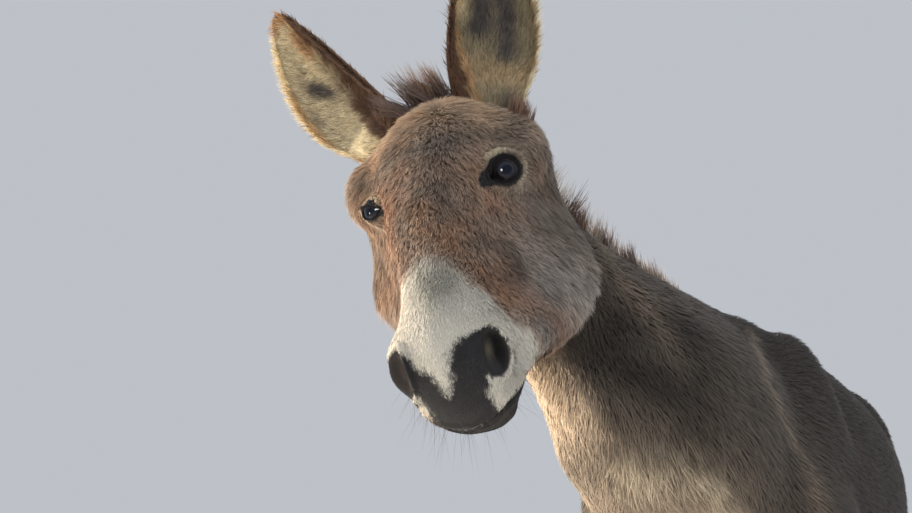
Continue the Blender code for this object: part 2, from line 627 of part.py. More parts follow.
# Hooves are parted at the coronet.
for kind in ("fore", "hind"):
    for side in (1, -1):
        word = "left" if side > 0 else "right"
        leg = pieces[f"{kind}leg_{word}"]
        foot = leg_line(kind, side)[-2]
        cut(leg, helper(parting("coronet", (foot[1], foot[2], HOOF_Z), (0, 0.12, 1), (0.16, 0.16), tools)))
        both = sorted(bodies_of(leg), key=lambda body: body[0][2])[-2:]
        hoof = add(f"hoof_{kind}_{word}", both[0][1])
        leg.data = both[1][1]
        pieces[hoof.name] = hoof

for side, word in ((1, "left"), (-1, "right")):
    centre = at_head(side * EYE_X, EYE_A, EYE_D)
    pieces[f"eye_{word}"] = ball(f"eye_{word}", centre, (EYE_R,) * 3, HEAD_AXES, donkey)
    pieces[f"ear_{word}"] = ear_loft(side, f"ear_{word}", donkey)
pieces["mane"] = crest_strip("mane", donkey)
pieces["forelock"] = forelock_loft("forelock", donkey)
pieces["tail"] = dock_loft("tail", donkey)
pieces["tail_tuft"] = tail_loft(
    "tail_tuft", [(0, 0.602, 0.7190), (0, 0.600, 0.66), (0, 0.596, 0.57), (0, 0.590, 0.47), (0, 0.585, 0.375)],
    [(0.0175, 0.0165), (0.034, 0.030), (0.042, 0.036), (0.032, 0.027), (0.008, 0.007)], donkey)

# ---------------------------------------------------------------- finish
FINISH = {  # colour, roughness
    "head": ((0.160, 0.125, 0.098, 1), 0.92), "neck": ((0.150, 0.122, 0.100, 1), 0.94),
    "trunk": ((0.130, 0.108, 0.092, 1), 0.94), "tail": ((0.120, 0.098, 0.080, 1), 0.94),
    "tail_tuft": ((0.060, 0.040, 0.030, 1), 0.85), "mane": ((0.095, 0.060, 0.040, 1), 0.88),
    "forelock": ((0.140, 0.085, 0.052, 1), 0.88), "ear": ((0.330, 0.270, 0.170, 1), 0.92),
    "eye": ((0.012, 0.010, 0.012, 1), 0.06), "hoof": ((0.050, 0.044, 0.040, 1), 0.55),
    "foreleg": ((0.170, 0.150, 0.130, 1), 0.93), "hindleg": ((0.170, 0.150, 0.130, 1), 0.93),
}
lows = np.full(3, 9.0)
highs = -lows
for obj in pieces.values():
    points = np.array([v.co for v in obj.data.vertices])
    lows, highs = np.minimum(lows, points.min(0)), np.maximum(highs, points.max(0))
shift = np.array((-(lows[0] + highs[0]) / 2, -(lows[1] + highs[1]) / 2, -lows[2]))
stand = bpy.data.objects.new("donkey_origin", None)
donkey.objects.link(stand)
for name, obj in pieces.items():
    points = np.array([v.co for v in obj.data.vertices])
    middle = (points.min(0) + points.max(0)) / 2
    move = np.eye(4)
    move[:3, 3] = -middle
    obj.data.transform(Matrix(move.tolist()))
    obj.location = middle + shift
    obj.parent = stand
    obj.data.shade_smooth()
    colour, rough = FINISH[name if name in FINISH else name.split("_")[0]]
    material = bpy.data.materials.new(name + "_finish")
    material.use_nodes = True
    shader = material.node_tree.nodes["Principled BSDF"]
    shader.inputs["Base Color"].default_value = colour
    shader.inputs["Roughness"].default_value = rough
    shader.inputs["Metallic"].default_value = 0.0
    material.diffuse_color = colour
    obj.data.materials.clear()
    obj.data.materials.append(material)
print("shift", shift.round(5), "size", (highs - lows).round(4), {n: len(o.data.polygons) for n, o in pieces.items()})
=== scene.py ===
"""The finished look of a life-size standing donkey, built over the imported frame.

One skin takes the place of the flesh nodes and lies inside them by the depth of the coat.
The coat is solid mesh: thin blades in tufts that follow the lie of the hair, with the
mane, forelock, tail and ear hair as longer locks. Eyes, ears and hooves are pieces of
their own. Metres, +Z up, the body faces -Y and the animal's left is +X.
"""
import math

import bmesh
import bpy
import numpy as np
from mathutils import Matrix, Vector


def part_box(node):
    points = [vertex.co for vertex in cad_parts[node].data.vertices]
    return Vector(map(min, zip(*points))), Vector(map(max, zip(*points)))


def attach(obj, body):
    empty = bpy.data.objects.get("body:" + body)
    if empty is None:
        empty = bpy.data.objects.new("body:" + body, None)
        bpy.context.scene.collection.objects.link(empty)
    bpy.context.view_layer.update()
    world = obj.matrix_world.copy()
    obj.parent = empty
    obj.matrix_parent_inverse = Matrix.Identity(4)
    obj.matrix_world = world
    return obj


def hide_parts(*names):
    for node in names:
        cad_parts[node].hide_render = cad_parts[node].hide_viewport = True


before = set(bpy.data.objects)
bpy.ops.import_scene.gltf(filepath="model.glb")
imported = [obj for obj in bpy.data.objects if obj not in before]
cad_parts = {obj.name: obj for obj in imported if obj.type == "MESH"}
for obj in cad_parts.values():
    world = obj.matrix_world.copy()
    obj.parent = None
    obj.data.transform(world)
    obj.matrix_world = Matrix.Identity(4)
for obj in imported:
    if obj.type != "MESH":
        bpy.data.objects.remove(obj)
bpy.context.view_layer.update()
SHARE = 1.0    # of the coat, while trying things

# ---------------------------------------------------------------- the animal's own measures
POLL = np.array([-0.172, -0.726, 1.177])
HEAD_TURN, HEAD_TILT, HEAD_SLOPE = math.radians(15.4), math.radians(8.4), math.radians(73.8)
EYE = np.array((0.0745, 0.1695, 0.0428))
EYE_R = 0.0195
EAR_LENGTH, EAR_WIDTH = 0.262, 0.112
VOXEL = 0.0080
#     a       front   back    wt     wm     dm     wl     dl      wb
HEAD = (
    (-0.040, 0.020, -0.045, 0.016, 0.036, -0.005, 0.034, -0.022, 0.018),
    (-0.020, 0.044, -0.078, 0.034, 0.070, -0.005, 0.068, -0.036, 0.036),
    (0.020, 0.070, -0.106, 0.052, 0.102, 0.004, 0.100, -0.050, 0.056),
    (0.065, 0.090, -0.128, 0.066, 0.122, 0.016, 0.117, -0.056, 0.072),
    (0.110, 0.100, -0.144, 0.072, 0.122, 0.022, 0.118, -0.068, 0.082),
    (0.155, 0.102, -0.152, 0.064, 0.100, 0.008, 0.134, -0.080, 0.088),
    (0.200, 0.099, -0.152, 0.054, 0.089, 0.000, 0.140, -0.082, 0.090),
    (0.245, 0.093, -0.146, 0.046, 0.080, 0.000, 0.130, -0.078, 0.088),
    (0.285, 0.087, -0.139, 0.041, 0.068, 0.002, 0.110, -0.080, 0.082),
    (0.320, 0.083, -0.118, 0.039, 0.061, 0.008, 0.085, -0.064, 0.064),
    (0.352, 0.080, -0.082, 0.039, 0.062, 0.014, 0.068, -0.036, 0.044),
    (0.384, 0.076, -0.068, 0.041, 0.063, 0.020, 0.060, -0.026, 0.039),
    (0.410, 0.067, -0.060, 0.037, 0.057, 0.014, 0.051, -0.022, 0.037),
    (0.432, 0.050, -0.053, 0.030, 0.047, 0.006, 0.043, -0.018, 0.032),
    (0.449, 0.030, -0.040, 0.019, 0.036, 0.000, 0.034, -0.014, 0.024),
    (0.458, 0.010, -0.018, 0.008, 0.014, -0.004, 0.012, -0.008, 0.009),
)
#     y       top    bottom  wt     wm     zm     wl     zl     wb
TRUNK = (
    (-0.490, 0.780, 0.650, 0.030, 0.060, 0.715, 0.056, 0.690, 0.035),
    (-0.465, 0.850, 0.590, 0.060, 0.118, 0.730, 0.114, 0.670, 0.070),
    (-0.400, 0.945, 0.530, 0.070, 0.159, 0.760, 0.150, 0.660, 0.086),
    (-0.310, 1.010, 0.505, 0.055, 0.175, 0.800, 0.160, 0.640, 0.088),
    (-0.220, 1.042, 0.490, 0.058, 0.182, 0.820, 0.164, 0.620, 0.090),
    (-0.120, 1.039, 0.480, 0.114, 0.195, 0.848, 0.166, 0.620, 0.092),
    (0.000, 1.035, 0.474, 0.142, 0.208, 0.848, 0.172, 0.630, 0.094),
    (0.130, 1.034, 0.476, 0.146, 0.211, 0.846, 0.174, 0.640, 0.096),
    (0.250, 1.037, 0.494, 0.134, 0.207, 0.850, 0.168, 0.660, 0.092),
    (0.340, 1.045, 0.530, 0.124, 0.200, 0.862, 0.160, 0.690, 0.086),
    (0.430, 1.036, 0.592, 0.098, 0.176, 0.866, 0.146, 0.730, 0.078),
    (0.500, 1.004, 0.662, 0.078, 0.150, 0.860, 0.128, 0.765, 0.066),
    (0.545, 0.955, 0.732, 0.050, 0.096, 0.845, 0.086, 0.788, 0.044),
    (0.562, 0.910, 0.782, 0.020, 0.045, 0.845, 0.040, 0.815, 0.020),
)
FORELEG = (
    (0.720, 0.112, -0.305, 0.052, 0.085, 0.085), (0.620, 0.112, -0.290, 0.056, 0.078, 0.084),
    (0.530, 0.108, -0.284, 0.049, 0.058, 0.062), (0.440, 0.104, -0.283, 0.040, 0.046, 0.046),
    (0.370, 0.102, -0.284, 0.036, 0.040, 0.037), (0.320, 0.101, -0.286, 0.040, 0.044, 0.038),
    (0.280, 0.100, -0.281, 0.033, 0.036, 0.034), (0.210, 0.099, -0.277, 0.027, 0.029, 0.031),
    (0.150, 0.099, -0.278, 0.029, 0.031, 0.036), (0.120, 0.099, -0.282, 0.033, 0.034, 0.041),
    (0.088, 0.099, -0.293, 0.030, 0.033, 0.034), (0.066, 0.099, -0.302, 0.037, 0.041, 0.038),
    (0.054, 0.099, -0.306, 0.038, 0.044, 0.038), (0.000, 0.099, -0.313, 0.044, 0.056, 0.040),
)
HINDLEG = (
    (0.800, 0.112, 0.400, 0.078, 0.150, 0.130), (0.700, 0.120, 0.385, 0.076, 0.138, 0.122),
    (0.620, 0.121, 0.380, 0.064, 0.110, 0.090), (0.550, 0.118, 0.400, 0.052, 0.078, 0.064),
    (0.490, 0.114, 0.430, 0.042, 0.056, 0.050), (0.440, 0.110, 0.458, 0.037, 0.046, 0.052),
    (0.400, 0.107, 0.470, 0.039, 0.047, 0.050), (0.350, 0.105, 0.468, 0.034, 0.040, 0.038),
    (0.280, 0.104, 0.458, 0.029, 0.033, 0.035), (0.200, 0.103, 0.450, 0.028, 0.031, 0.034),
    (0.150, 0.103, 0.446, 0.030, 0.033, 0.038), (0.120, 0.103, 0.442, 0.033, 0.035, 0.042),
    (0.088, 0.103, 0.430, 0.029, 0.032, 0.033), (0.066, 0.103, 0.420, 0.036, 0.040, 0.037),
    (0.054, 0.103, 0.416, 0.037, 0.043, 0.038), (0.000, 0.103, 0.410, 0.042, 0.053, 0.039),
)
STEP = {("fore", 1): -0.020, ("fore", -1): 0.018, ("hind", 1): 0.022, ("hind", -1): -0.045}
EARS = {  # root across the head, the way it points, the way it opens, its bow outwards, its breadth
    1: (0.060, (0.37, -1.0, 0.80), (0.45, 0.60, 0.66), 0.011, 1.13),
    -1: (-0.074, (-0.66, -1.0, 0.78), (-0.22, 0.66, 0.70), 0.026, 1.0),
}

# Colours, linear.
GREY = np.array((0.150, 0.118, 0.094))
DARK = np.array((0.070, 0.054, 0.044))
BUFF = np.array((0.400, 0.275, 0.178))
RUST = np.array((0.290, 0.165, 0.103))
WHITE = np.array((0.825, 0.800, 0.725))
CREAM = np.array((0.540, 0.430, 0.290))
EARCREAM = np.array((0.800, 0.700, 0.480))
CHAR = np.array((0.026, 0.024, 0.029))
BROWN = np.array((0.095, 0.042, 0.022))


# ---------------------------------------------------------------- small numeric tools
def spline(t, keys, values):
    """A smooth curve through values at keys, read at t."""
    k = np.asarray(keys, float)
    v = np.asarray(values, float)
    if v.ndim == 1:
        v = v[:, None]
    h = np.diff(k)[:, None]
    d = np.diff(v, axis=0) / h
    m = np.concatenate([d[:1], (d[:-1] * h[1:] + d[1:] * h[:-1]) / (h[1:] + h[:-1]), d[-1:]])
    t = np.atleast_1d(np.asarray(t, float))
    i = np.clip(np.searchsorted(k, t, side="right") - 1, 0, len(k) - 2)
    w = h[i]
    u = (t - k[i])[:, None] / w
    return ((2 * u**3 - 3 * u**2 + 1) * v[i] + (u**3 - 2 * u**2 + u) * w * m[i]
            + (3 * u**2 - 2 * u**3) * v[i + 1] + (u**3 - u**2) * w * m[i + 1])


def ease(x, low, high):
    u = np.clip((np.asarray(x, float) - low) / (high - low), 0, 1)
    return u * u * (3 - 2 * u)


def unit(v):
    v = np.asarray(v, float)
    return v / np.maximum(np.linalg.norm(v, axis=-1, keepdims=True), 1e-12)


def mix(a, b, t):
    t = np.asarray(t, float)
    return a + (b - a) * (t[:, None] if t.ndim == 1 else t)


def noise(points, size, seed=0):
    """Smooth value noise from 0 to 1."""
    q = np.asarray(points, float) / size + 100.0
    i = np.floor(q).astype(np.int64)
    f = q - i
    f = f * f * (3 - 2 * f)
    out = np.zeros(len(q))
    for dx in (0, 1):
        for dy in (0, 1):
            for dz in (0, 1):
                n = ((i[:, 0] + dx) * 374761393 + (i[:, 1] + dy) * 668265263 + (i[:, 2] + dz) * 1440670441
                     + seed * 1013904223) & 0xFFFFFFFF
                n = ((n ^ (n >> 13)) * 1274126177) & 0xFFFFFFFF
                n = (n ^ (n >> 16)) & 0xFFFFFF
                weight = ((f[:, 0] if dx else 1 - f[:, 0]) * (f[:, 1] if dy else 1 - f[:, 1])
                          * (f[:, 2] if dz else 1 - f[:, 2]))
                out += weight * n / 0xFFFFFF
    return out


def head_axes():
    base = np.array([(1, 0, 0), (0, -math.cos(HEAD_SLOPE), -math.sin(HEAD_SLOPE)),
                     (0, -math.sin(HEAD_SLOPE), math.cos(HEAD_SLOPE))]).T
    c, s = math.cos(HEAD_TILT), math.sin(HEAD_TILT)
    tilt = np.array([(c, 0, -s), (0, 1, 0), (s, 0, c)])
    c, s = math.cos(HEAD_TURN), math.sin(HEAD_TURN)
    turn = np.array([(c, -s, 0), (s, c, 0), (0, 0, 1)])
    return turn @ tilt @ base


HEAD_AXES = head_axes()


def at_head(x, a, d):
    return POLL + HEAD_AXES @ np.array((x, a, d))


def to_head(points):
    return (np.asarray(points) - POLL) @ HEAD_AXES


low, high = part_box("eye_left")
SHIFT = (np.array(low) + np.array(high)) / 2 - at_head(*EYE)


# ---------------------------------------------------------------- stage
def camera():
    data = bpy.data.cameras.new("camera")
    data.sensor_width = 36.0
    data.lens = 36.0 * 700 / 912
    data.clip_start = 0.01
    obj = bpy.data.objects.new("camera", data)
    bpy.context.scene.collection.objects.link(obj)
    forward = unit((-0.5026, 0.7451, 0.4384))
    right = unit((0.829, 0.559, 0.0))
    up = np.cross(right, forward)
    placed = np.eye(4)
    placed[:3, 0], placed[:3, 1], placed[:3, 2] = right, up, -forward
    placed[:3, 3] = np.array((0.273, -1.366, 0.61)) + SHIFT
    obj.matrix_world = Matrix(placed.tolist())
    bpy.context.scene.camera = obj


def area(name, at, aim, size, power, colour, shine=True):
    data = bpy.data.lights.new(name, "AREA")
    data.shape = "DISK"
    data.size = size
    data.energy = power
    data.color = colour
    obj = bpy.data.objects.new(name, data)
    bpy.context.scene.collection.objects.link(obj)
    obj.location = at
    obj.visible_glossy = shine
    obj.rotation_euler = (Vector(aim) - Vector(at)).to_track_quat("-Z", "Y").to_euler()


def principled(name, colour, rough, **more):
    material = bpy.data.materials.new(name)
    material.use_nodes = True
    shader = material.node_tree.nodes["Principled BSDF"]
    shader.inputs["Base Color"].default_value = (*colour, 1)
    shader.inputs["Roughness"].default_value = rough
    for key, value in more.items():
        shader.inputs[key.replace("_", " ")].default_value = value
    return material, shader


def stage():
    world = bpy.data.worlds.new("studio")
    world.use_nodes = True
    back = world.node_tree.nodes["Background"]
    back.inputs["Color"].default_value = (0.80, 0.84, 0.90, 1)
    back.inputs["Strength"].default_value = 0.64
    bpy.context.scene.world = world
    bpy.context.scene.view_settings.view_transform = "Standard"
    middle = Vector(at_head(0, 0.2, 0) + SHIFT)
    left = Vector((-0.829, -0.559, 0))
    away = Vector((-0.559, 0.829, 0))
    area("key", middle + left * 2.1 + away * 0.85 + Vector((0, 0, 0.7)), middle, 0.9, 205, (1.0, 0.86, 0.69), False)
    area("front", middle - left * 0.6 - away * 1.7 + Vector((0, 0, 0.9)), middle, 1.8, 15, (1.0, 0.97, 0.94), False)
    area("side", middle - left * 2.6 + Vector((0, 0, 1.6)) + away * 0.8, middle + Vector((0.3, 0.3, -0.2)), 1.8, 10,
         (1.0, 0.95, 0.88), False)
    area("spark_left", Vector(np.array((0.430, -1.815, 0.765)) + SHIFT), middle, 0.34, 18.0, (1.0, 1.0, 1.0))
    area("spark_right", Vector(np.array((-0.993, -1.578, 0.615)) + SHIFT), middle, 0.17, 4.0, (1.0, 1.0, 1.0))
    for lamp in ("spark_left", "spark_right"):
        bpy.data.objects[lamp].visible_diffuse = False
    mesh = bpy.data.meshes.new("floor")
    mesh.from_pydata([(-6, -6, 0), (6, -6, 0), (6, 6, 0), (-6, 6, 0)], [], [(0, 1, 2, 3)])
    floor = bpy.data.objects.new("floor", mesh)
    bpy.context.scene.collection.objects.link(floor)
    material, shader = principled("floor_pale", (0.72, 0.71, 0.69), 0.85)
    tree = material.node_tree
    grain = tree.nodes.new("ShaderNodeTexNoise")
    grain.inputs["Scale"].default_value = 260
    bump = tree.nodes.new("ShaderNodeBump")
    bump.inputs["Strength"].default_value = 0.05
    bump.inputs["Distance"].default_value = 0.002
    tree.links.new(grain.outputs["Fac"], bump.inputs["Height"])
    tree.links.new(bump.outputs["Normal"], shader.inputs["Normal"])
    mesh.materials.append(material)


camera()
stage()


# ---------------------------------------------------------------- meshes from arrays
def mesh_of(name, verts, faces, tones=None, uv=None, smooth=True):
    """A mesh of triangles in the row frame, with vertex colours and a map."""
    verts = np.asarray(verts, np.float64) + SHIFT
    faces = np.asarray(faces, np.int64)
    mesh = bpy.data.meshes.new(name)
    mesh.vertices.add(len(verts))
    mesh.vertices.foreach_set("co", verts.astype(np.float32).ravel())
    mesh.loops.add(len(faces) * 3)
    mesh.loops.foreach_set("vertex_index", faces.astype(np.int32).ravel())
    mesh.polygons.add(len(faces))
    mesh.polygons.foreach_set("loop_start", np.arange(0, len(faces) * 3, 3, dtype=np.int32))
    mesh.polygons.foreach_set("use_smooth", np.full(len(faces), smooth, bool))
    mesh.update(calc_edges=True)
    if uv is not None:
        layer = mesh.uv_layers.new(name="OFBake")
        layer.data.foreach_set("uv", np.asarray(uv, np.float32)[faces].ravel())
    if tones is not None:
        layer = mesh.color_attributes.new("tone", "FLOAT_COLOR", "POINT")
        rgba = np.ones((len(verts), 4), np.float32)
        rgba[:, :3] = np.clip(tones, 0, 1)
        layer.data.foreach_set("color", rgba.ravel())
    obj = bpy.data.objects.new(name, mesh)
    bpy.context.scene.collection.objects.link(obj)
    return obj


def grid_faces(rows, columns, closed=False, flip=False):
    """Triangles of a grid of points, each row of it a ring if closed."""
    i, j = np.meshgrid(np.arange(rows - 1), np.arange(columns if closed else columns - 1), indexing="ij")
    k = (j + 1) % columns
    a, b, c, d = i * columns + j, i * columns + k, (i + 1) * columns + k, (i + 1) * columns + j
    faces = np.concatenate([np.stack([a, b, c], -1).reshape(-1, 3), np.stack([a, c, d], -1).reshape(-1, 3)])
    return faces[:, ::-1] if flip else faces


def outline(top, bottom, wt, wm, zm, wl, zl, wb, count):
    h = top - bottom
    half = np.array([
        (0, top), (wt * 0.62, top - 0.012 * h - 0.10 * wt), (wt, top - 0.05 * h - 0.22 * wt),
        (wm, zm), (wl, zl), (wb, bottom + 0.05 * h + 0.20 * wb),
        (wb * 0.6, bottom + 0.01 * h + 0.08 * wb), (0, bottom)])
    whole = np.concatenate([half, (half[1:-1] * (-1, 1))[::-1]])
    p = np.concatenate([whole[-3:], whole, whole[:4]])
    k = np.concatenate([[0], np.cumsum(np.sqrt(np.linalg.norm(np.diff(p, axis=0), axis=1)))])
    return spline(np.linspace(k[3], k[3 + len(whole)], count, endpoint=False), k, p)


def loft(centres, across, up, rings):
    """(points, faces) of a closed loft."""
    centres, across, up, rings = (np.asarray(v, float) for v in (centres, across, up, rings))
    rows, count = rings.shape[:2]
    pts = centres[:, None] + rings[..., :1] * across[:, None] + rings[..., 1:] * up[:, None]
    faces = [grid_faces(rows, count, closed=True)]
    flat = pts.reshape(-1, 3)
    tops = np.stack([pts[0].mean(0), pts[-1].mean(0)])
    j = np.arange(count)
    k = (j + 1) % count
    n = rows * count
    faces.append(np.stack([k, j, np.full(count, n)], 1))
    faces.append(np.stack([j + n - count, k + n - count, np.full(count, n + 1)], 1))
    return np.concatenate([flat, tops]), np.concatenate(faces)


def ball(centre, radii, axes, segments=24, rings=14):
    lat = np.linspace(0, math.pi, rings + 1)
    lon = np.arange(segments) * 2 * math.pi / segments
    pts = np.stack([np.sin(lat)[:, None] * np.cos(lon), np.sin(lat)[:, None] * np.sin(lon),
                    np.repeat(np.cos(lat)[:, None], segments, 1)], -1).reshape(-1, 3)
    return pts * np.asarray(radii) @ np.asarray(axes).T + centre, grid_faces(rings + 1, segments, closed=True)


def skew(a, d):
    return (0.022 * ease(a, 0.18, 0.27) * (1 - ease(a, 0.33, 0.40)) * (1 - ease(d, -0.05, 0.05))
            + 0.009 * ease(a, 0.38, 0.43))


def head_loft():
    keys = np.array(HEAD)
    a = np.linspace(keys[0, 0], keys[-1, 0], 60)
    rings = np.array([outline(*row, 44) for row in spline(a, keys[:, 0], keys[:, 1:])])
    ones = np.ones((len(a), 1))
    pts, faces = loft(POLL + a[:, None] * HEAD_AXES[:, 1], ones * HEAD_AXES[:, 0], ones * HEAD_AXES[:, 2], rings)
    local = to_head(pts)
    s = np.clip((local[:, 1] - 0.36) / 0.09, 0, 1)
    local[:, 0] += skew(local[:, 1], local[:, 2])
    local[:, 1] += 0.28 * local[:, 2] * s * s * (3 - 2 * s)
    return POLL + local @ HEAD_AXES.T, faces


def neck_curves():
    crest = [(0, -0.10, 1.022), (0, -0.22, 1.046), (-0.008, -0.34, 1.032), (-0.035, -0.46, 1.038),
             (-0.085, -0.57, 1.085), tuple(at_head(0, -0.035, -0.045)), tuple(at_head(0, 0.0, 0.02))]
    throat = [(0, -0.36, 0.560), (0, -0.465, 0.635), (-0.012, -0.572, 0.722), (-0.050, -0.636, 0.800),
              (-0.108, -0.634, 0.885), tuple(at_head(0, 0.185, -0.125)), tuple(at_head(0, 0.150, -0.06))]
    return crest, throat, (0.140, 0.140, 0.134, 0.120, 0.103, 0.100, 0.082)


def low_share(s):
    """Breadth of the neck's lower edge against its middle: full at the chest, lean under the throat."""
    return np.interp(s, (0, 0.17, 0.33, 0.50, 0.67, 0.83, 1.0), (0.74, 0.78, 0.86, 0.44, 0.48, 0.70, 0.74))


def neck_loft():
    crest, throat, half = neck_curves()
    k = np.linspace(0, 1, len(crest))
    s = np.linspace(0, 1, 34)
    top, low, wide = spline(s, k, crest), spline(s, k, throat), spline(s, k, half)[:, 0]
    blend = (s * s * (3 - 2 * s))[:, None]
    across = (1 - blend) * np.array((1.0, 0, 0)) + blend * HEAD_AXES[:, 0]
    up = top - low
    h = np.linalg.norm(up, axis=1) / 2
    up /= 2 * h[:, None]
    across -= (across * up).sum(1)[:, None] * up
    across = unit(across)
    rings = np.array([outline(x, -x, w * 0.34, w * 0.78, 0.34 * x, w, -0.22 * x, w * b, 40)
                      for x, w, b in zip(h, wide, low_share(s))])
    return loft((top + low) / 2, across, up, rings)


def trunk_loft():
    keys = np.array(TRUNK)
    y = np.linspace(keys[0, 0], keys[-1, 0], 60)
    rings = np.array([outline(*row, 48) for row in spline(y, keys[:, 0], keys[:, 1:])])
    ones = np.ones((len(y), 1))
    return loft(y[:, None] * np.array((0, 1.0, 0)), ones * np.array((1.0, 0, 0)), ones * np.array((0, 0, 1.0)), rings)


def leg_line(kind, side):
    keys = np.array(FORELEG if kind == "fore" else HINDLEG)
    high = 0.60 if kind == "fore" else 0.66
    keys[:, 1] *= side
    keys[:, 2] += STEP[kind, side] * np.clip((high - keys[:, 0]) / (high - 0.10), 0, 1)
    return keys


def leg_rings(kind, side, z, count, grow=0.0):
    keys = leg_line(kind, side)[::-1]
    turns = np.arange(count) * 2 * math.pi / count
    rings = []
    for x, y, wide, ahead, behind in spline(z, keys[:, 0], keys[:, 1:]):
        c, s = np.cos(turns), np.sin(turns)
        rings.append(np.stack([x + (wide + grow) * c, y + (np.where(s > 0, behind, ahead) + grow) * s], 1))
    return np.array(rings)


def leg_loft(kind, side):
    top = leg_line(kind, side)[0, 0]
    z = np.linspace(0.0, top, 46)
    ones = np.ones((len(z), 1))
    return loft(z[:, None] * np.array((0, 0, 1.0)), ones * np.array((1.0, 0, 0)), ones * np.array((0, 1.0, 0)),
                leg_rings(kind, side, z, 24))


TAIL_LINE = [(0, 0.525, 0.948), (0, 0.566, 0.946), (0, 0.596, 0.905), (0, 0.606, 0.820), (0, 0.602, 0.720)]
TAIL_R = [(0.031, 0.028), (0.030, 0.027), (0.026, 0.024), (0.022, 0.020), (0.0175, 0.0165)]


def tail_loft():
    k = np.linspace(0, 1, 5)
    s = np.linspace(0, 1, 24)
    line, r = spline(s, k, TAIL_LINE), spline(s, k, TAIL_R)
    way = unit(np.gradient(line, axis=0))
    across = np.tile((1.0, 0, 0), (len(s), 1))
    up = unit(np.cross(way, across))
    turns = np.arange(16) * 2 * math.pi / 16
    return loft(line, across, up, np.array([np.stack([a * np.cos(turns), b * np.sin(turns)], 1) for a, b in r]))


# ---------------------------------------------------------------- the skin
def masses():
    made = [head_loft(), neck_loft(), trunk_loft(), tail_loft()]
    slope = math.radians(24)
    lean = np.array([(1, 0, 0), (0, math.cos(slope), math.sin(slope)), (0, -math.sin(slope), math.cos(slope))])
    for side in (1, -1):
        made += [leg_loft("fore", side), leg_loft("hind", side),
                 ball(at_head(side * 0.091, 0.114, 0.024), (0.040, 0.054, 0.042), HEAD_AXES),
                 ball(at_head(side * 0.0415 + 0.0015, 0.390, 0.034), (0.024, 0.036, 0.031), HEAD_AXES),
                 ball((side * 0.111 + 0.007, -0.300, 0.790), (0.064, 0.105, 0.200), lean),
                 ball((side * 0.044, -0.270, 0.905), (0.080, 0.150, 0.100), np.eye(3)),
                 ball((side * 0.120, 0.300, 0.885), (0.086, 0.135, 0.128), np.eye(3)),
                 ball((side * 0.111 + 0.007, -0.360, 0.690), (0.062, 0.105, 0.100), np.eye(3)),
                 ball((side * 0.108, 0.405, 0.760), (0.078, 0.145, 0.190), np.eye(3))]
    verts, faces, base = [], [], 0
    for pts, tri in made:
        verts.append(pts)
        faces.append(tri + base)
        base += len(pts)
    return np.concatenate(verts), np.concatenate(faces)


def arrays(mesh):
    co = np.empty(len(mesh.vertices) * 3, np.float32)
    mesh.vertices.foreach_get("co", co)
    return co.reshape(-1, 3).astype(float)


def united_mesh():
    verts, faces = masses()
    mesh = bpy.data.meshes.new("masses")
    mesh.from_pydata(verts.tolist(), [], faces.tolist())
    obj = bpy.data.objects.new("masses", mesh)
    bpy.context.scene.collection.objects.link(obj)
    modifier = obj.modifiers.new("United", "REMESH")
    modifier.mode = "VOXEL"
    modifier.voxel_size = VOXEL
    soft = obj.modifiers.new("Soft", "SMOOTH")
    soft.factor = 0.5
    soft.iterations = 9
    out = bpy.data.meshes.new_from_object(obj.evaluated_get(bpy.context.evaluated_depsgraph_get()))
    bpy.data.objects.remove(obj, do_unlink=True)
    return out


def refine(mesh, choose):
    """Halves the edges whose two ends choose() picks."""
    picked = choose(arrays(mesh))
    bm = bmesh.new()
    bm.from_mesh(mesh)
    edges = [e for e in bm.edges if picked[e.verts[0].index] and picked[e.verts[1].index]]
    bmesh.ops.subdivide_edges(bm, edges=edges, cuts=1, use_grid_fill=True)
    bm.to_mesh(mesh)
    bm.free()


def relax(verts, edges, weight, rounds):
    """Moves each point towards the middle of its neighbours, by its weight."""
    a, b = edges[:, 0], edges[:, 1]
    count = np.bincount(a, minlength=len(verts)) + np.bincount(b, minlength=len(verts))
    count = np.maximum(count, 1)[:, None]
    for _ in range(rounds):
        total = np.zeros_like(verts)
        for axis in range(3):
            total[:, axis] = (np.bincount(a, verts[b, axis], len(verts)) + np.bincount(b, verts[a, axis], len(verts)))
        verts = verts + (total / count - verts) * weight[:, None]
    return verts


def normals_of(verts, faces):
    p = verts[faces]
    n = np.cross(p[:, 1] - p[:, 0], p[:, 2] - p[:, 0])
    out = np.zeros_like(verts)
    for axis in range(3):
        for corner in range(3):
            out[:, axis] += np.bincount(faces[:, corner], n[:, axis], len(verts))
    return unit(out)


def line_of_jaw(a):
    return np.where(a < 0.235, -0.045 - 0.3018 * (a + 0.04), -0.128)


def on_head(points):
    """1 on the head, 0 on the neck and body, eased across their boundary."""
    h = to_head(points)
    return ease(h[:, 2] - line_of_jaw(h[:, 1]), -0.012, 0.012) * ease(h[:, 1], -0.075, -0.045) * (points[:, 1] < -0.5)


GAZE = unit((0.46, 0.57, 0.68))            # the way the opening of the lids faces, for the left eye
ALONG = np.array((-0.59, 0.67, 0.46))
ALONG = unit(ALONG - (ALONG @ GAZE) * GAZE)    # from the outer corner to the inner one
ACROSS = np.cross(ALONG, GAZE)
if ACROSS[1] > 0:
    ACROSS = -ACROSS                           # towards the upper lid
LID_R = EYE_R + 0.0022
LID_LONG, LID_HIGH = 1.04, 0.78                # half angles of the opening, seen from the eyeball's centre
OPEN = {1: (1.0, 1.0, 0.90), -1: (0.80, 0.38, 0.56)}    # each eye: length, upper and lower half of the opening


def lid_tall(alpha):
    """Half angle of the opening above and below, narrower towards the inner corner."""
    return LID_HIGH * (1 - 0.22 * np.clip(alpha / LID_LONG, 0, 1.2) ** 2)


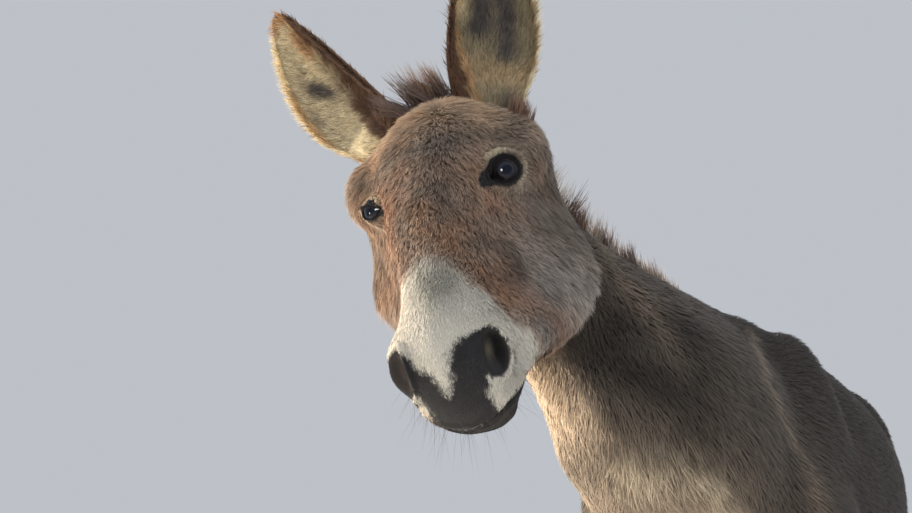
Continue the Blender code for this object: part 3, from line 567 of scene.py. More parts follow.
def eye_plane(points, side):
    """Millimetre-like coordinates on the plane of the lids: along, across, out of it; and how far outside the rim."""
    q = to_head(points) * (side, 1, 1) - EYE
    along, across, out = q @ ALONG, q @ ACROSS, q @ GAZE
    flat = np.hypot(along, across)
    near = (flat < 0.075) & (out > -0.03) & (np.linalg.norm(q, axis=1) < 0.085)
    long = LID_R * math.sin(LID_LONG) * OPEN[side][0]
    tall = LID_R * np.sin(lid_tall(LID_LONG * along / long)) * np.where(across > 0, *OPEN[side][1:])
    f = np.hypot(along / long, across / tall)
    edge = flat / np.maximum(f, 1e-6)            # distance from the middle to the rim this way
    return along, across, out, f, np.where(near, flat - edge, 1.0), edge


NOSTRIL = np.array((0.0485, 0.4115, 0.0500))
NOSTRIL_UP = unit((0.004, -0.84, 0.55))
NOSTRIL_SIDE = np.array((0.76, 0.05, -0.64))
NOSTRIL_SIDE = unit(NOSTRIL_SIDE - (NOSTRIL_SIDE @ NOSTRIL_UP) * NOSTRIL_UP)
NOSTRIL_OUT = np.cross(NOSTRIL_UP, NOSTRIL_SIDE)
if NOSTRIL_OUT[0] < 0:
    NOSTRIL_OUT = -NOSTRIL_OUT


def nostril_frame(points, side):
    q = to_head(points) * (side, 1, 1) - NOSTRIL - np.array((0.002 * (side < 0) * -1, 0, 0))
    return q @ NOSTRIL_UP, q @ NOSTRIL_SIDE, q @ NOSTRIL_OUT


def nostril_reach(up, side):
    """A comma: round below, drawn out and bent inwards above."""
    bend = side - 0.0035 * np.cos(up / 0.020 * 1.2) + 0.0035
    return np.hypot(up / 0.0200, bend / (0.0112 - 0.0022 * np.clip(up / 0.02, -1, 1)))


MOUTH = np.array([(0.0547, 0.3780, -0.0350), (0.0552, 0.3950, -0.0200), (0.0540, 0.4115, -0.0055), (0.0478, 0.4334, 0.0070),
                  (0.0390, 0.4450, 0.0105), (0.0261, 0.4526, 0.0068), (0.0119, 0.4565, 0.0042), (0.0, 0.4575, 0.0020)])
MOUTH_KEYS = np.linspace(0, 1, len(MOUTH))
MOUTH_LINE = spline(np.linspace(0, 1, 70), MOUTH_KEYS, MOUTH)


def mouth_frame(h):
    """Distance from the line between the lips, and how far above it a point is."""
    g = h.copy()
    g[:, 0] = np.abs(g[:, 0] - 0.004)
    far = np.full(len(g), 1.0)
    above = np.zeros(len(g))
    near = np.nonzero((g[:, 1] > 0.34) & (np.abs(g[:, 2]) < 0.09))[0]
    if len(near):
        d = np.linalg.norm(g[near, None] - MOUTH_LINE[None], axis=2)
        k = d.argmin(1)
        far[near] = d[np.arange(len(near)), k]
        above[near] = g[near, 2] - MOUTH_LINE[k, 2]
    return far, above


def coat_depth(points):
    """How far the skin lies under the outline of the coat."""
    h = to_head(points)
    x, a, d = h.T
    head = on_head(points)
    z, y = points[:, 2], points[:, 1]
    face = 0.0065 - 0.0032 * ease(a, 0.27, 0.36) - 0.0011 * ease(a, 0.38, 0.42)
    face = face + 0.0020 * ease(-d, 0.02, 0.09) * (1 - ease(a, 0.28, 0.36))
    for side in (1, -1):
        gap = eye_plane(points, side)[4]
        face = face - (face - 0.0028) * (1 - ease(gap, 0.003, 0.026))
    body = 0.0066 + 0.0020 * ease(-y, 0.36, 0.48)
    body = body - 0.0033 * ease(-z, -0.62, -0.40) * (np.abs(points[:, 0]) > 0.02)
    body = np.where(z < 0.10, 0.0035, body)
    body = np.where((y > 0.575) | ((y > 0.50) & (np.abs(points[:, 0]) < 0.035) & (z > 0.68)), 0.0055, body)
    return head * face + (1 - head) * body


def sculpt(verts, faces):
    """Lids, nostrils, lips and the folds of the head, on the skin."""
    n = normals_of(verts, faces)
    h = to_head(verts)
    x, a, d = h.T
    head = on_head(verts)
    side_x = np.abs(x)
    # the ridge below the eye, the hollow above it, and the groove beside the nose bone
    crest = np.exp(-((side_x - 0.078 + 0.16 * (a - 0.20)) / 0.011) ** 2 - ((d - 0.006) / 0.018) ** 2) * ease(a, 0.19, 0.215) * (1 - ease(a, 0.27, 0.31))
    hollow = np.exp(-((side_x - 0.080) / 0.020) ** 2 - ((a - 0.108) / 0.022) ** 2) * (d > 0)
    groove = np.exp(-((side_x - 0.052) / 0.012) ** 2) * ease(a, 0.22, 0.27) * (1 - ease(a, 0.33, 0.37)) * (d > 0.02)
    verts = verts + n * ((crest * 0.0035 - hollow * 0.0030 - groove * 0.0025) * head)[:, None]
    # muzzle: the lips and chin
    far, above = mouth_frame(h)
    lip = 0.0018 * np.exp(-((far - 0.0075) / 0.0042) ** 2) - 0.0066 * np.exp(-(far / 0.0024) ** 2)
    lower = ease(-above, -0.001, 0.004) * (1 - ease(-above, 0.016, 0.030)) * ease(a, 0.39, 0.42)
    verts = verts + n * ((lip - 0.0026 * lower) * head)[:, None]
    for side in (1, -1):
        up, across, out = nostril_frame(verts, side)
        f = nostril_reach(up, across)
        near = (np.abs(out) < 0.022) & (f < 4)
        inward = ease(-across, -0.001, 0.003)
        pit = (1 - ease(f, 0.40 - 0.28 * inward, 1.06 + 0.12 * inward)) * near * (1.0 if side > 0 else 0.55)
        rim = np.exp(-((f - 1.22) / 0.20) ** 2) * near
        wing = np.exp(-((f - 1.9) / 0.45) ** 2) * near * (across < 0.002)
        into = unit(NOSTRIL_OUT * 1.0 - NOSTRIL_UP * 0.35) * (side, 1, 1) @ HEAD_AXES.T
        verts = verts - into * (pit * 0.0165)[:, None] + n * (rim * (0.0006 + 0.0030 * ease(across * (1 if side > 0 else -1), -0.002, 0.004)) + wing * 0.0006)[:, None]
    for side in (1, -1):
        along, across, out, f, gap, edge = eye_plane(verts, side)
        near = gap < 0.5
        flat = np.hypot(along, across)
        rim = np.sqrt(np.maximum(LID_R**2 - np.minimum(edge, 0.94 * LID_R) ** 2, 0))
        inside = np.sqrt(np.maximum((EYE_R - 0.0045) ** 2 - np.minimum(flat, 0.9 * EYE_R) ** 2, 0)) - 0.001
        past = np.maximum(gap, 0)
        wanted = out + (rim - 0.0006 - out) * np.exp(-(past / 0.0085) ** 1.6)
        upper = ease(across, -0.004, 0.004)
        wanted += upper * (0.0017 * np.exp(-((past - 0.0078) / 0.0022) ** 2) - 0.0019 * np.exp(-((past - 0.0042) / 0.0013) ** 2)
                           + 0.0012 * np.exp(-((past - 0.0145) / 0.0030) ** 2))
        wanted += (1 - upper) * (0.0010 * np.exp(-((past - 0.0065) / 0.0022) ** 2) - 0.0010 * np.exp(-((past - 0.0105) / 0.0016) ** 2))
        wanted = np.where(gap < 0, inside, wanted)
        move = np.where(near, (wanted - out) * (1 - ease(past, 0.020, 0.032)), 0)
        verts = verts + (GAZE * (side, 1, 1) @ HEAD_AXES.T) * move[:, None]
    return verts


def build_skin():
    mesh = united_mesh()

    def whole_head(p):
        h = to_head(p)
        return (on_head(p) > 0.2) & (h[:, 1] > 0.02)

    def fine(p):
        h = to_head(p)
        eyes = np.minimum(np.linalg.norm(h - EYE, axis=1), np.linalg.norm(h - EYE * (-1, 1, 1), axis=1)) < 0.050
        return (on_head(p) > 0.5) & ((h[:, 1] > 0.335) | eyes)

    def finest(p):
        h = to_head(p)
        near = np.zeros(len(p), bool)
        for side in (1, -1):
            gap = eye_plane(p, side)[4]
            near |= gap < 0.014
            up, across, out = nostril_frame(p, side)
            near |= (np.hypot(up / 0.033, across / 0.026) < 1) & (np.abs(out) < 0.03)
        far, _ = mouth_frame(h)
        return near | (far < 0.009)

    refine(mesh, whole_head)
    refine(mesh, fine)
    refine(mesh, finest)
    bm = bmesh.new()
    bm.from_mesh(mesh)
    bmesh.ops.triangulate(bm, faces=bm.faces)
    bm.to_mesh(mesh)
    bm.free()
    verts = arrays(mesh)
    faces = np.empty(len(mesh.polygons) * 3, np.int32)
    mesh.polygons.foreach_get("vertices", faces)
    faces = faces.reshape(-1, 3).astype(np.int64)
    ends = np.empty(len(mesh.edges) * 2, np.int32)
    mesh.edges.foreach_get("vertices", ends)
    ends = ends.reshape(-1, 2)
    bpy.data.meshes.remove(mesh)
    head = on_head(verts)
    verts = relax(verts, ends, 0.5 * head + 0.0, 6)
    n = normals_of(verts, faces)
    if (n * (verts - verts.mean(0))).sum() < 0:
        faces = faces[:, ::-1]
        n = -n
    depth = coat_depth(verts)
    verts = verts - n * depth[:, None]
    verts = relax(verts, ends, 0.25 + 0.25 * (1 - head), 3)
    verts[:, 2] = np.maximum(verts[:, 2], 0.030)
    verts = sculpt(verts, faces)
    return verts, faces, ends


print("skin", flush=True)
SKIN, SKIN_FACES, SKIN_EDGES = build_skin()
SKIN_N = normals_of(SKIN, SKIN_FACES)
print("skin vertices", len(SKIN), "triangles", len(SKIN_FACES), flush=True)


# ---------------------------------------------------------------- colour marks, with painted light and shade
def streak(points, line, width):
    """1 along a line of points, fading over the width."""
    line = np.asarray(line, float)
    near = np.full(len(points), 9.0)
    for p, q in zip(line[:-1], line[1:]):
        t = np.clip((points - p) @ (q - p) / ((q - p) @ (q - p)), 0, 1)
        near = np.minimum(near, np.linalg.norm(points - p - t[:, None] * (q - p), axis=1))
    return np.exp(-(near / width) ** 2)


def spot(h, middle, radius):
    return np.exp(-(((h - np.asarray(middle)) / radius) ** 2).sum(1))


BREAST_TUFT = ((-0.020, -0.585, 0.745), (0.034, -0.576, 0.737), (0.055, -0.555, 0.718), (0.020, -0.560, 0.705))
# lines of painted highlight: the neck's ridge and the rear edge of the shoulder
NECK_RIDGE_HIGHLIGHT = ((0.006, -0.591, 0.968), (0.034, -0.591, 0.911), (0.047, -0.595, 0.877), (0.059, -0.596, 0.850))
SHOULDER_HIGHLIGHT = ((0.094, -0.364, 0.945), (0.120, -0.476, 0.857), (0.129, -0.454, 0.808), (0.141, -0.437, 0.767), (0.145, -0.450, 0.698))
BREAST_CREASE = ((-0.034, -0.613, 0.766), (0.001, -0.600, 0.754), (0.032, -0.588, 0.753))


def white_muzzle(h):
    """1 on the pale muzzle, 0 above it."""
    x, a, d = h.T
    s = np.abs(x)
    left = 0.306 + 0.028 * ease(s, 0.002, 0.036) + 0.020 * ease(s, 0.036, 0.058)
    right = 0.300 + 0.050 * ease(s, 0.044, 0.058)
    edge = np.where(x > 0, left, right) + 0.014 * (noise(h, 0.014, 3) - 0.5) + 0.010 * (noise(h, 0.005, 4) - 0.5)
    return ease(a - edge, -0.013, 0.015)


def dark_muzzle(h):
    """1 on the charcoal skin of the nostrils and lips."""
    x, a, d = h.T
    s = np.abs(x - 0.0015)
    rough = 0.005 * (noise(h, 0.006, 5) - 0.5) + 0.004 * (noise(h, 0.0025, 6) - 0.5)
    inner = np.where(x > 0.0015, np.interp(a, (0.388, 0.392, 0.399, 0.407, 0.414, 0.4215, 0.4285, 0.434, 0.443, 0.447),
                                           (0.050, 0.0400, 0.0260, 0.0165, 0.0090, 0.0085, 0.0066, 0.0060, 0.0005, -0.006)),
                     np.interp(a, (0.390, 0.395, 0.403, 0.410, 0.418, 0.423, 0.430, 0.436, 0.443, 0.447),
                               (0.052, 0.0450, 0.0355, 0.0295, 0.0225, 0.0175, 0.0115, 0.0070, 0.0010, -0.006)))
    outer = np.where(x > 0, np.interp(a, (0.388, 0.395, 0.405, 0.412, 0.420, 0.428, 0.434, 0.443, 0.450, 0.456),
                                      (0.045, 0.0515, 0.0555, 0.0550, 0.0505, 0.0420, 0.0345, 0.0320, 0.0345, 0.040)),
                     np.interp(a, (0.388, 0.415, 0.422, 0.428, 0.434, 0.443, 0.450, 0.456),
                               (0.072, 0.072, 0.054, 0.036, 0.030, 0.027, 0.025, 0.023)))
    band = ease(s - inner + 1.3 * rough, -0.0080, 0.0075) * ease(outer - s + 1.3 * rough, -0.0060, 0.0055)
    band = band * ease(a + rough, 0.384, 0.396) * ease(d, 0.004, 0.014)
    far, above = mouth_frame(h)
    below = ease(a, 0.362, 0.380)
    lips = (1 - ease(far + rough, 0.0034, 0.0068)) * below
    low = ease(-above + rough, -0.001, 0.002) * (1 - ease(-above + 1.6 * rough, 0.030, 0.042)) * ease(a, 0.372, 0.385) * (far < 0.05) * ease(x, -0.034, -0.016)
    for side in (1, -1):
        up, across, out = nostril_frame(h @ HEAD_AXES.T + POLL, side)
        f = nostril_reach(up, across)
        band = np.maximum(band, (1 - ease(f + 15 * rough, 1.06, 1.26)) * (np.abs(out) < 0.025))
    return np.clip(np.maximum(np.maximum(band, lips), low), 0, 1)


def eye_marks(points):
    """(black rim, pale ring, rust patch, distance) round the eyes."""
    black = np.zeros(len(points))
    pale = np.zeros(len(points))
    rust = np.zeros(len(points))
    gap_all = np.full(len(points), 1.0)
    for side in (1, -1):
        along, across, out, f, gap, edge = eye_plane(points, side)
        turn = np.arctan2(across, along)
        corner = np.exp(-(turn / 0.34) ** 2)                   # the inner corner
        above = ease(across, -0.004, 0.006)
        rough = 0.0016 * (noise(points, 0.004, 8) - 0.5)
        reach = (0.0028 + 0.0165 * corner) * (1.0 if side > 0 else 0.55)
        black = np.maximum(black, 1 - ease(gap + rough, reach, reach + 0.0026))
        wide = 0.0062 + 0.0040 * above * ease(-along, -0.020, 0.004) + 0.0015 * (1 - above)
        ring = ease(gap + rough, reach * 0.8, reach + 0.002) * (1 - ease(gap + 1.5 * rough, wide, wide + 0.0065))
        ring *= 0.15 + 0.95 * above * np.exp(-((along - 0.001) / 0.013) ** 2) + 0.30 * (1 - above) * ease(-along, -0.002, 0.012)
        pale = np.maximum(pale, ring * (gap < 0.5))
        medial = ease(along, -0.012, 0.016)
        rust = np.maximum(rust, np.exp(-((gap - 0.024) / 0.016) ** 2) * medial * (gap < 0.5))
        gap_all = np.minimum(gap_all, gap)
    return black, np.clip(pale, 0, 1), np.clip(rust, 0, 1), gap_all


def markings_and_painted_light(points, normals):
    """(colour of the hair roots, of the tips, share of dark bare skin) at points on the body."""
    h = to_head(points)
    x, a, d = h.T
    s = np.abs(x)
    head = on_head(points)[:, None]
    broad = noise(points, 0.060, 11)
    mid = noise(points, 0.022, 12)
    # body
    y, z = points[:, 1], points[:, 2]
    low = np.tile(GREY * (0.36, 0.38, 0.42), (len(points), 1))
    tip = np.tile(np.array((0.100, 0.085, 0.075)), (len(points), 1))
    under = ease(-normals[:, 2], 0.35, 0.9) * ease(y, -0.45, -0.30) * (z > 0.42) * (z < 0.70)
    low = mix(low, CREAM * 0.8, under * 0.85)
    tip = mix(tip, CREAM, under * 0.9)
    inner = ease(-np.sign(points[:, 0]) * normals[:, 0], 0.1, 0.8) * (z < 0.66) * (z > 0.06)
    low = mix(low, CREAM * 0.7, inner * 0.6)
    tip = mix(tip, CREAM, inner * 0.6)
    spine = np.exp(-(points[:, 0] / 0.014) ** 2) * (normals[:, 2] > 0.3) * (y > -0.28)
    cross = np.exp(-((y + 0.235) / 0.013) ** 2) * ease(z, 0.70, 0.86) * 0.75
    stripe = np.clip(spine + cross, 0, 1) * 0.8
    low = mix(low, BROWN * 0.9, stripe)
    tip = mix(tip, BROWN * 1.6, stripe)
    foot = 1 - ease(z, 0.09, 0.22)
    low = mix(low, GREY * 0.62, foot * 0.6)
    # neck and chest: buff streaks under the throat and on the breast
    crest, throat, _ = neck_curves()
    line = spline(np.linspace(0, 1, 60), np.linspace(0, 1, len(throat)), throat)
    front = np.full(len(points), 1.0)
    near = np.nonzero((y < -0.36) & (head[:, 0] < 0.9))[0]
    if len(near):
        front[near] = np.min(np.linalg.norm(points[near, None] - line[None], axis=2), axis=1)
    x_ = points[:, 0]
    chest = (1 - ease(front, 0.05, 0.15)) * ease(-z, -0.93, -0.76)
    edge_x = np.interp(z, (0.70, 0.75, 0.79, 0.83, 0.87, 0.93), (0.085, 0.030, -0.020, -0.040, -0.065, -0.110)) + 0.03 * (broad - 0.5)
    throat_pale = ease(edge_x - x_, -0.014, 0.014) * ease(-y, 0.42, 0.50) * ease(z, 0.60, 0.68) * (0.72 + 0.35 * mid)
    throat_pale = throat_pale * (0.58 + 0.42 * ease(z, 0.750, 0.800))
    # dimmed along the breast crease: painted shade there
    throat_pale = throat_pale * (1 - 0.40 * np.exp(-((z - 0.762) / 0.022) ** 2))
    pale = np.clip(np.maximum(0.16 * chest * (0.30 + 0.80 * mid), throat_pale) + 0.07 * ease(-y, 0.36, 0.50), 0, 1)
    low = mix(low, BUFF * (0.92, 1.00, 1.08), pale * 0.9)
    tip = mix(tip, np.array((0.820, 0.690, 0.535)), pale)
    # painted shade: the sides of the trunk behind the shoulder darkened, standing in for the shadow of the neck and
    # head
    painted_flank_shade = ease(y, -0.42, -0.30) * ease(np.abs(normals[:, 0]), 0.2, 0.7) * (z > 0.45)
    low = low * (1 - 0.48 * painted_flank_shade)[:, None]
    tip = tip * (1 - 0.48 * painted_flank_shade)[:, None]
    # painted shade: dark streaks under the jaw, down the neck and along the breast crease
    painted_shade = np.clip(0.95 * streak(points, ((-0.003, -0.602, 0.922), (-0.025, -0.622, 0.873), (0.034, -0.602, 0.830)), 0.030)
                   + 0.70 * streak(points, ((0.038, -0.581, 0.925), (0.060, -0.570, 0.900)), 0.020)
                   + 0.75 * streak(points, ((0.090, -0.560, 0.930), (0.076, -0.580, 0.829), (0.053, -0.586, 0.764)), 0.028)
                   + 0.90 * streak(points, BREAST_CREASE, 0.009), 0, 1)
    low = mix(low, DARK * 0.40, painted_shade * 0.85)
    tip = mix(tip, DARK * 0.52, painted_shade * 0.92)
    # painted highlight: lighter streaks where light catches the neck ridge, the shoulder's rear edge and the top of the
    # neck
    painted_highlight = np.clip(0.80 * streak(points, NECK_RIDGE_HIGHLIGHT, 0.012) + 0.80 * streak(points, SHOULDER_HIGHLIGHT, 0.012)
                    + 0.55 * streak(points, ((-0.060, -0.535, 1.090), (-0.013, -0.592, 0.996), (0.020, -0.588, 0.940)), 0.022), 0, 1) * (0.55 + 0.7 * mid)
    low = mix(low, BUFF * 0.60, painted_highlight * 0.8)
    tip = mix(tip, np.array((0.470, 0.400, 0.330)), painted_highlight)
    creamy = np.clip(streak(points, BREAST_TUFT, 0.026) * 1.25 * ease(noise(points, 0.009, 18), 0.30, 0.62), 0, 1)
    low = mix(low, CREAM * 0.90, creamy * 0.35)
    tip = mix(tip, np.array((0.820, 0.720, 0.560)), creamy)
    # head
    hl = np.tile(GREY * (1.25, 1.24, 1.24), (len(points), 1))
    ht = np.tile(np.array((0.500, 0.400, 0.322)), (len(points), 1))
    cheek = ease(s, 0.050, 0.085) * ease(-d, -0.04, 0.03)
    cheek_low = ease(a, 0.20, 0.28)
    hl = mix(hl, GREY * (0.76, 0.80, 0.85), cheek * (1 - cheek_low))
    ht = mix(ht, np.array((0.250, 0.215, 0.182)), cheek * (1 - cheek_low))
    hl = mix(hl, GREY * (1.40, 1.55, 1.80), cheek * cheek_low)
    ht = mix(ht, np.array((0.470, 0.445, 0.420)), cheek * cheek_low)
    bridge = np.exp(-((s - 0.042) / 0.020) ** 2) * ease(a, 0.13, 0.20) * (d > 0.02)
    border = np.exp(-((a - 0.292 - 0.030 * ease(s, 0.012, 0.050)) / 0.022) ** 2) * (0.35 + 0.65 * ease(s, 0.010, 0.040))
    flank = ease(s, 0.040, 0.060) * np.exp(-((a - 0.325) / 0.030) ** 2) * ease(d, -0.020, 0.015) * np.where(x > 0, 0.30, 1.0)
    # rust on the right side of the face and crown: partly real rust, partly painted warm sunlight
    side = 0.60 * ease(-x, 0.030, 0.065) * ease(d, -0.10, -0.04) * ease(a, 0.15, 0.20)
    crown = 0.20 * ease(-x, -0.02, 0.05) * (1 - ease(a, 0.10, 0.19))
    black, ring, rust_eye, gap = eye_marks(points)
    rust = np.clip(0.50 * bridge + 0.72 * border + 0.60 * flank + 0.60 * rust_eye + side + crown, 0, 0.95) * (0.45 + 0.75 * mid) * (0.75 + 0.4 * broad)
    rust = np.clip(rust, 0, 0.95)
    hl = mix(hl, RUST * 0.72, rust)
    ht = mix(ht, RUST * 1.85 + 0.03, rust)
    # sandy hair on the right side and top of the head: partly real colour, partly painted warm sunlight
    sand_and_sunlight = np.clip(0.80 * ease(-x, 0.062, 0.085) * (1 - ease(a, 0.155, 0.18)) + 1.15 * (1 - ease(a, 0.110, 0.150)) * (d > 0) * ease(-x, -0.080, -0.040)
                   + 0.70 * streak(h, ((-0.027, 0.100, 0.095), (-0.028, 0.195, 0.093)), 0.013)
                   + 0.40 * ease(-x, 0.080, 0.100) * ease(a, 0.17, 0.21), 0, 1) * (0.6 + 0.6 * mid)
    hl = mix(hl, np.array((0.230, 0.165, 0.118)), sand_and_sunlight * 0.9)
    ht = mix(ht, np.array((0.540, 0.385, 0.260)), np.minimum(sand_and_sunlight * 0.95, 1))
    pale_brow = np.clip(0.95 * streak(h, ((0.044, 0.158, 0.086), (0.0485, 0.195, 0.079), (0.050, 0.211, 0.072)), 0.012) + 0.45 * spot(h, (0.030, 0.215, 0.088), 0.020)
                        + 0.50 * spot(h, (-0.012, 0.215, 0.092), 0.016), 0, 1) * (0.5 + 0.8 * mid)
    hl = mix(hl, np.array((0.205, 0.150, 0.112)), pale_brow)
    ht = mix(ht, np.array((0.740, 0.540, 0.400)), pale_brow)
    top_lit = 1.10 * (1 - ease(a, 0.082, 0.138)) * ease(d, 0.03, 0.07) * (0.6 + 0.6 * mid)
    hl = mix(hl, np.array((0.360, 0.260, 0.175)), np.clip(top_lit, 0, 1))
    ht = mix(ht, np.array((0.900, 0.660, 0.450)), np.clip(top_lit, 0, 1))
    warm = np.clip(0.70 * streak(h, ((-0.012, 0.262, 0.088), (0.012, 0.281, 0.085), (0.030, 0.292, 0.076)), 0.013) + 1.00 * spot(h, (-0.007, 0.239, 0.092), 0.015) + 0.70 * spot(h, (0.021, 0.288, 0.079), 0.013) + 0.60 * spot(h, (-0.0225, 0.222, 0.091), 0.012)
                   + 0.75 * spot(h, (0.0530, 0.186, 0.077), 0.016) + 0.50 * spot(h, (0.050, 0.216, 0.072), 0.013)
                   + 0.35 * spot(h, (0.025, 0.262, 0.082), 0.022) + 0.45 * spot(h, (0.060, 0.332, 0.025), 0.013), 0, 1)
    hl = mix(hl, np.array((0.210, 0.118, 0.068)), warm)
    ht = mix(ht, np.array((0.640, 0.400, 0.250)), warm)
    slate = np.clip(0.42 * streak(h, ((0.012, 0.155, 0.100), (0.014, 0.180, 0.099), (0.018, 0.235, 0.092)), 0.016)
                    + 0.50 * spot(h, (0.084, 0.122, 0.066), 0.016) + 0.50 * spot(h, (0.104, 0.150, 0.035), 0.024) + 0.60 * spot(h, (0.062, 0.262, 0.050), 0.016) + 0.35 * spot(h, (0.040, 0.240, 0.080), 0.014)
                    + 0.85 * streak(h, ((0.066, 0.268, 0.024), (0.071, 0.289, 0.012)), 0.012) + 0.80 * spot(h, (0.0605, 0.303, 0.026), 0.011), 0, 1)
    slate = slate * (0.5 + 0.7 * noise(h, 0.010, 17))
    hl = mix(hl, np.array((0.052, 0.036, 0.030)), slate)
    ht = mix(ht, np.array((0.130, 0.094, 0.076)), slate)
    mottle = noise(h, 0.015, 71)
    hl = hl * (0.76 + 0.48 * mottle)[:, None]
    ht = ht * (0.74 + 0.52 * mottle)[:, None]
    ruddy = 0.55 * ease(noise(h, 0.024, 72), 0.50, 0.80) * (1 - cheek * cheek_low)
    hl = hl * mix(np.ones(3), np.array((1.14, 0.96, 0.86)), ruddy)
    ht = ht * mix(np.ones(3), np.array((1.14, 0.96, 0.86)), ruddy)
    jaw = ease(-d, 0.07, 0.14)
    ht = mix(ht, np.array((0.400, 0.330, 0.260)), jaw * 0.5)
    white = white_muzzle(h)
    # greyer muzzle: random greying, a grey spot at its top, and painted shade towards the animal's left side
    dull = 0.30 * noise(h, 0.020, 15) * (1 - ease(a, 0.36, 0.39)) + 0.05 * ease(x, -0.012, 0.030) + 1.0 * spot(h, (0.004, 0.334, 0.080), (0.023, 0.026, 0.040))
    rosy = np.exp(-((white - 0.5) / 0.30) ** 2) * ease(s, 0.010, 0.035)
    grey_white = mix(WHITE, np.array((0.400, 0.395, 0.345)), np.clip(dull, 0, 1))
    grey_white = mix(grey_white, np.array((0.330, 0.320, 0.290)), 0.55 * spot(h, (0.051, 0.424, 0.016), (0.018, 0.020, 0.022)))
    grey_white = mix(grey_white, np.array((0.600, 0.440, 0.340)), 0.80 * rosy)
    # the lip edge on the animal's right: cream, warmed as painted sunlight
    sunlit_lip_rim = 0.75 * ease(a, 0.424, 0.440) * ease(-x, 0.008, 0.018) * ease(-d, -0.022, -0.008)
    grey_white = mix(grey_white, np.array((0.560, 0.370, 0.235)), sunlit_lip_rim)
    hl = mix(hl, grey_white * 0.90, white)
    ht = mix(ht, grey_white * 1.06, white)
    hl = mix(hl, np.array((0.480, 0.410, 0.300)), ring)
    ht = mix(ht, np.array((0.760, 0.680, 0.530)), ring)
    lit = np.clip(spot(h, (-0.083, 0.153, 0.055), 0.009) + spot(h, (-0.070, 0.163, 0.062), 0.008), 0, 1)
    hl = mix(hl, np.array((0.480, 0.300, 0.170)), lit * 0.85)
    ht = mix(ht, np.array((0.760, 0.530, 0.330)), lit * 0.90)
    plain_low, plain_tip = low + (hl - low) * head, tip + (ht - tip) * head
    dark = np.maximum(dark_muzzle(h), black) * head[:, 0]
    # dark muzzle lighter towards the lip, with bluish hair tips: partly grizzled hair, partly painted sheen
    lip_grizzle_and_sheen = (0.62 + 0.55 * ease(a, 0.405, 0.440))[:, None] * (0.75 + 0.5 * noise(h, 0.006, 74))[:, None]
    hl = mix(hl, CHAR * 0.80 * lip_grizzle_and_sheen, dark)
    ht = mix(ht, CHAR * (1.50, 1.60, 1.95) * lip_grizzle_and_sheen, dark)
    low = low + (hl - low) * head
    tip = tip + (ht - tip) * head
    return low, tip, dark, gap, plain_low, plain_tip


# ---------------------------------------------------------------- lie of the hair
def lie(points, normals):
    """The way the hair lies, along the surface."""
    h = to_head(points)
    x, a, d = h.T
    side = np.where(x > 0, 1.0, -1.0)
    s = np.abs(x)
    whorl = 0.062
    ga = np.clip((a - whorl) / 0.060, -1, 1)
    out = 0.42 * np.exp(-((a - whorl) / 0.06) ** 2) + 0.34 + 0.10 * np.exp(-((a - 0.17) / 0.05) ** 2)
    out = out * ease(s, 0.0, 0.034) * (1 - 0.55 * ease(a, 0.30, 0.38))
    back = ease(s, 0.020, 0.060) * (0.9 - 0.5 * ease(a, 0.30, 0.38))
    ga = ga * (1 - 0.55 * ease(s, 0.055, 0.085) * (1 - ease(a, 0.26, 0.36)))
    ga = ga + 0.30 * ease(s, 0.055, 0.085)
    lean = -0.45 * np.exp(-((a - 0.10) / 0.10) ** 2) * (1 - ease(s, 0.0, 0.050))
    local = np.stack([side * out + lean, ga, -back * (0.35 + 0.65 * ease(-d, -0.07, 0.0))], 1)
    # chin and throat
    local = mix(local, np.stack([side * 0.15, np.full(len(s), -0.15), np.full(len(s), -1.0)], 1), ease(-d, 0.05, 0.11) * (1 - ease(a, 0.28, 0.36)))
    for sign in (1, -1):
        along, across, out_, f, gap, edge = eye_plane(points, sign)
        away = along[:, None] * ALONG + across[:, None] * ACROSS
        away = unit(away) * (sign, 1, 1)
        local = mix(unit(local), away, 0.75 * (1 - ease(gap, 0.006, 0.030)))
    head_way = local @ HEAD_AXES.T
    y, z = points[:, 1], points[:, 2]
    sx = np.where(points[:, 0] > 0, 1.0, -1.0)
    neck = np.stack([0.0 * y, np.full(len(y), 0.62), np.full(len(y), -0.78)], 1)
    chest = np.stack([0.35 * sx * ease(np.abs(points[:, 0]), 0.0, 0.05), np.full(len(y), 0.12), np.full(len(y), -1.0)], 1)
    body = np.stack([0.0 * y, np.full(len(y), 0.90), np.full(len(y), -0.42)], 1)
    rump = np.stack([0.0 * y, np.full(len(y), 0.35), np.full(len(y), -0.94)], 1)
    leg = np.stack([0.0 * y, np.full(len(y), 0.12), np.full(len(y), -1.0)], 1)
    way = mix(body, neck, ease(-y, 0.30, 0.46))
    way = mix(way, chest, ease(-y, 0.43, 0.52) * ease(-z, -0.86, -0.74) * ease(-normals[:, 1], 0.2, 0.7))
    way = mix(way, rump, ease(y, 0.36, 0.52))
    way = mix(way, leg, ease(-z, -0.66, -0.52) * (np.abs(points[:, 0]) > 0.03) * (1 - ease(-normals[:, 2], 0.5, 0.9)))
    head = on_head(points)[:, None]
    way = unit(way) * (1 - head) + unit(head_way) * head
    wander = np.stack([0.8 * noise(points, 0.030, 21 + k) + 1.1 * noise(points, 0.012, 24 + k) - 0.95 for k in range(3)], 1)
    way = way + wander * (0.22 + 0.33 * head * ease(a, 0.15, 0.24)[:, None])
    way = way - (way * normals).sum(1)[:, None] * normals
    return unit(way)


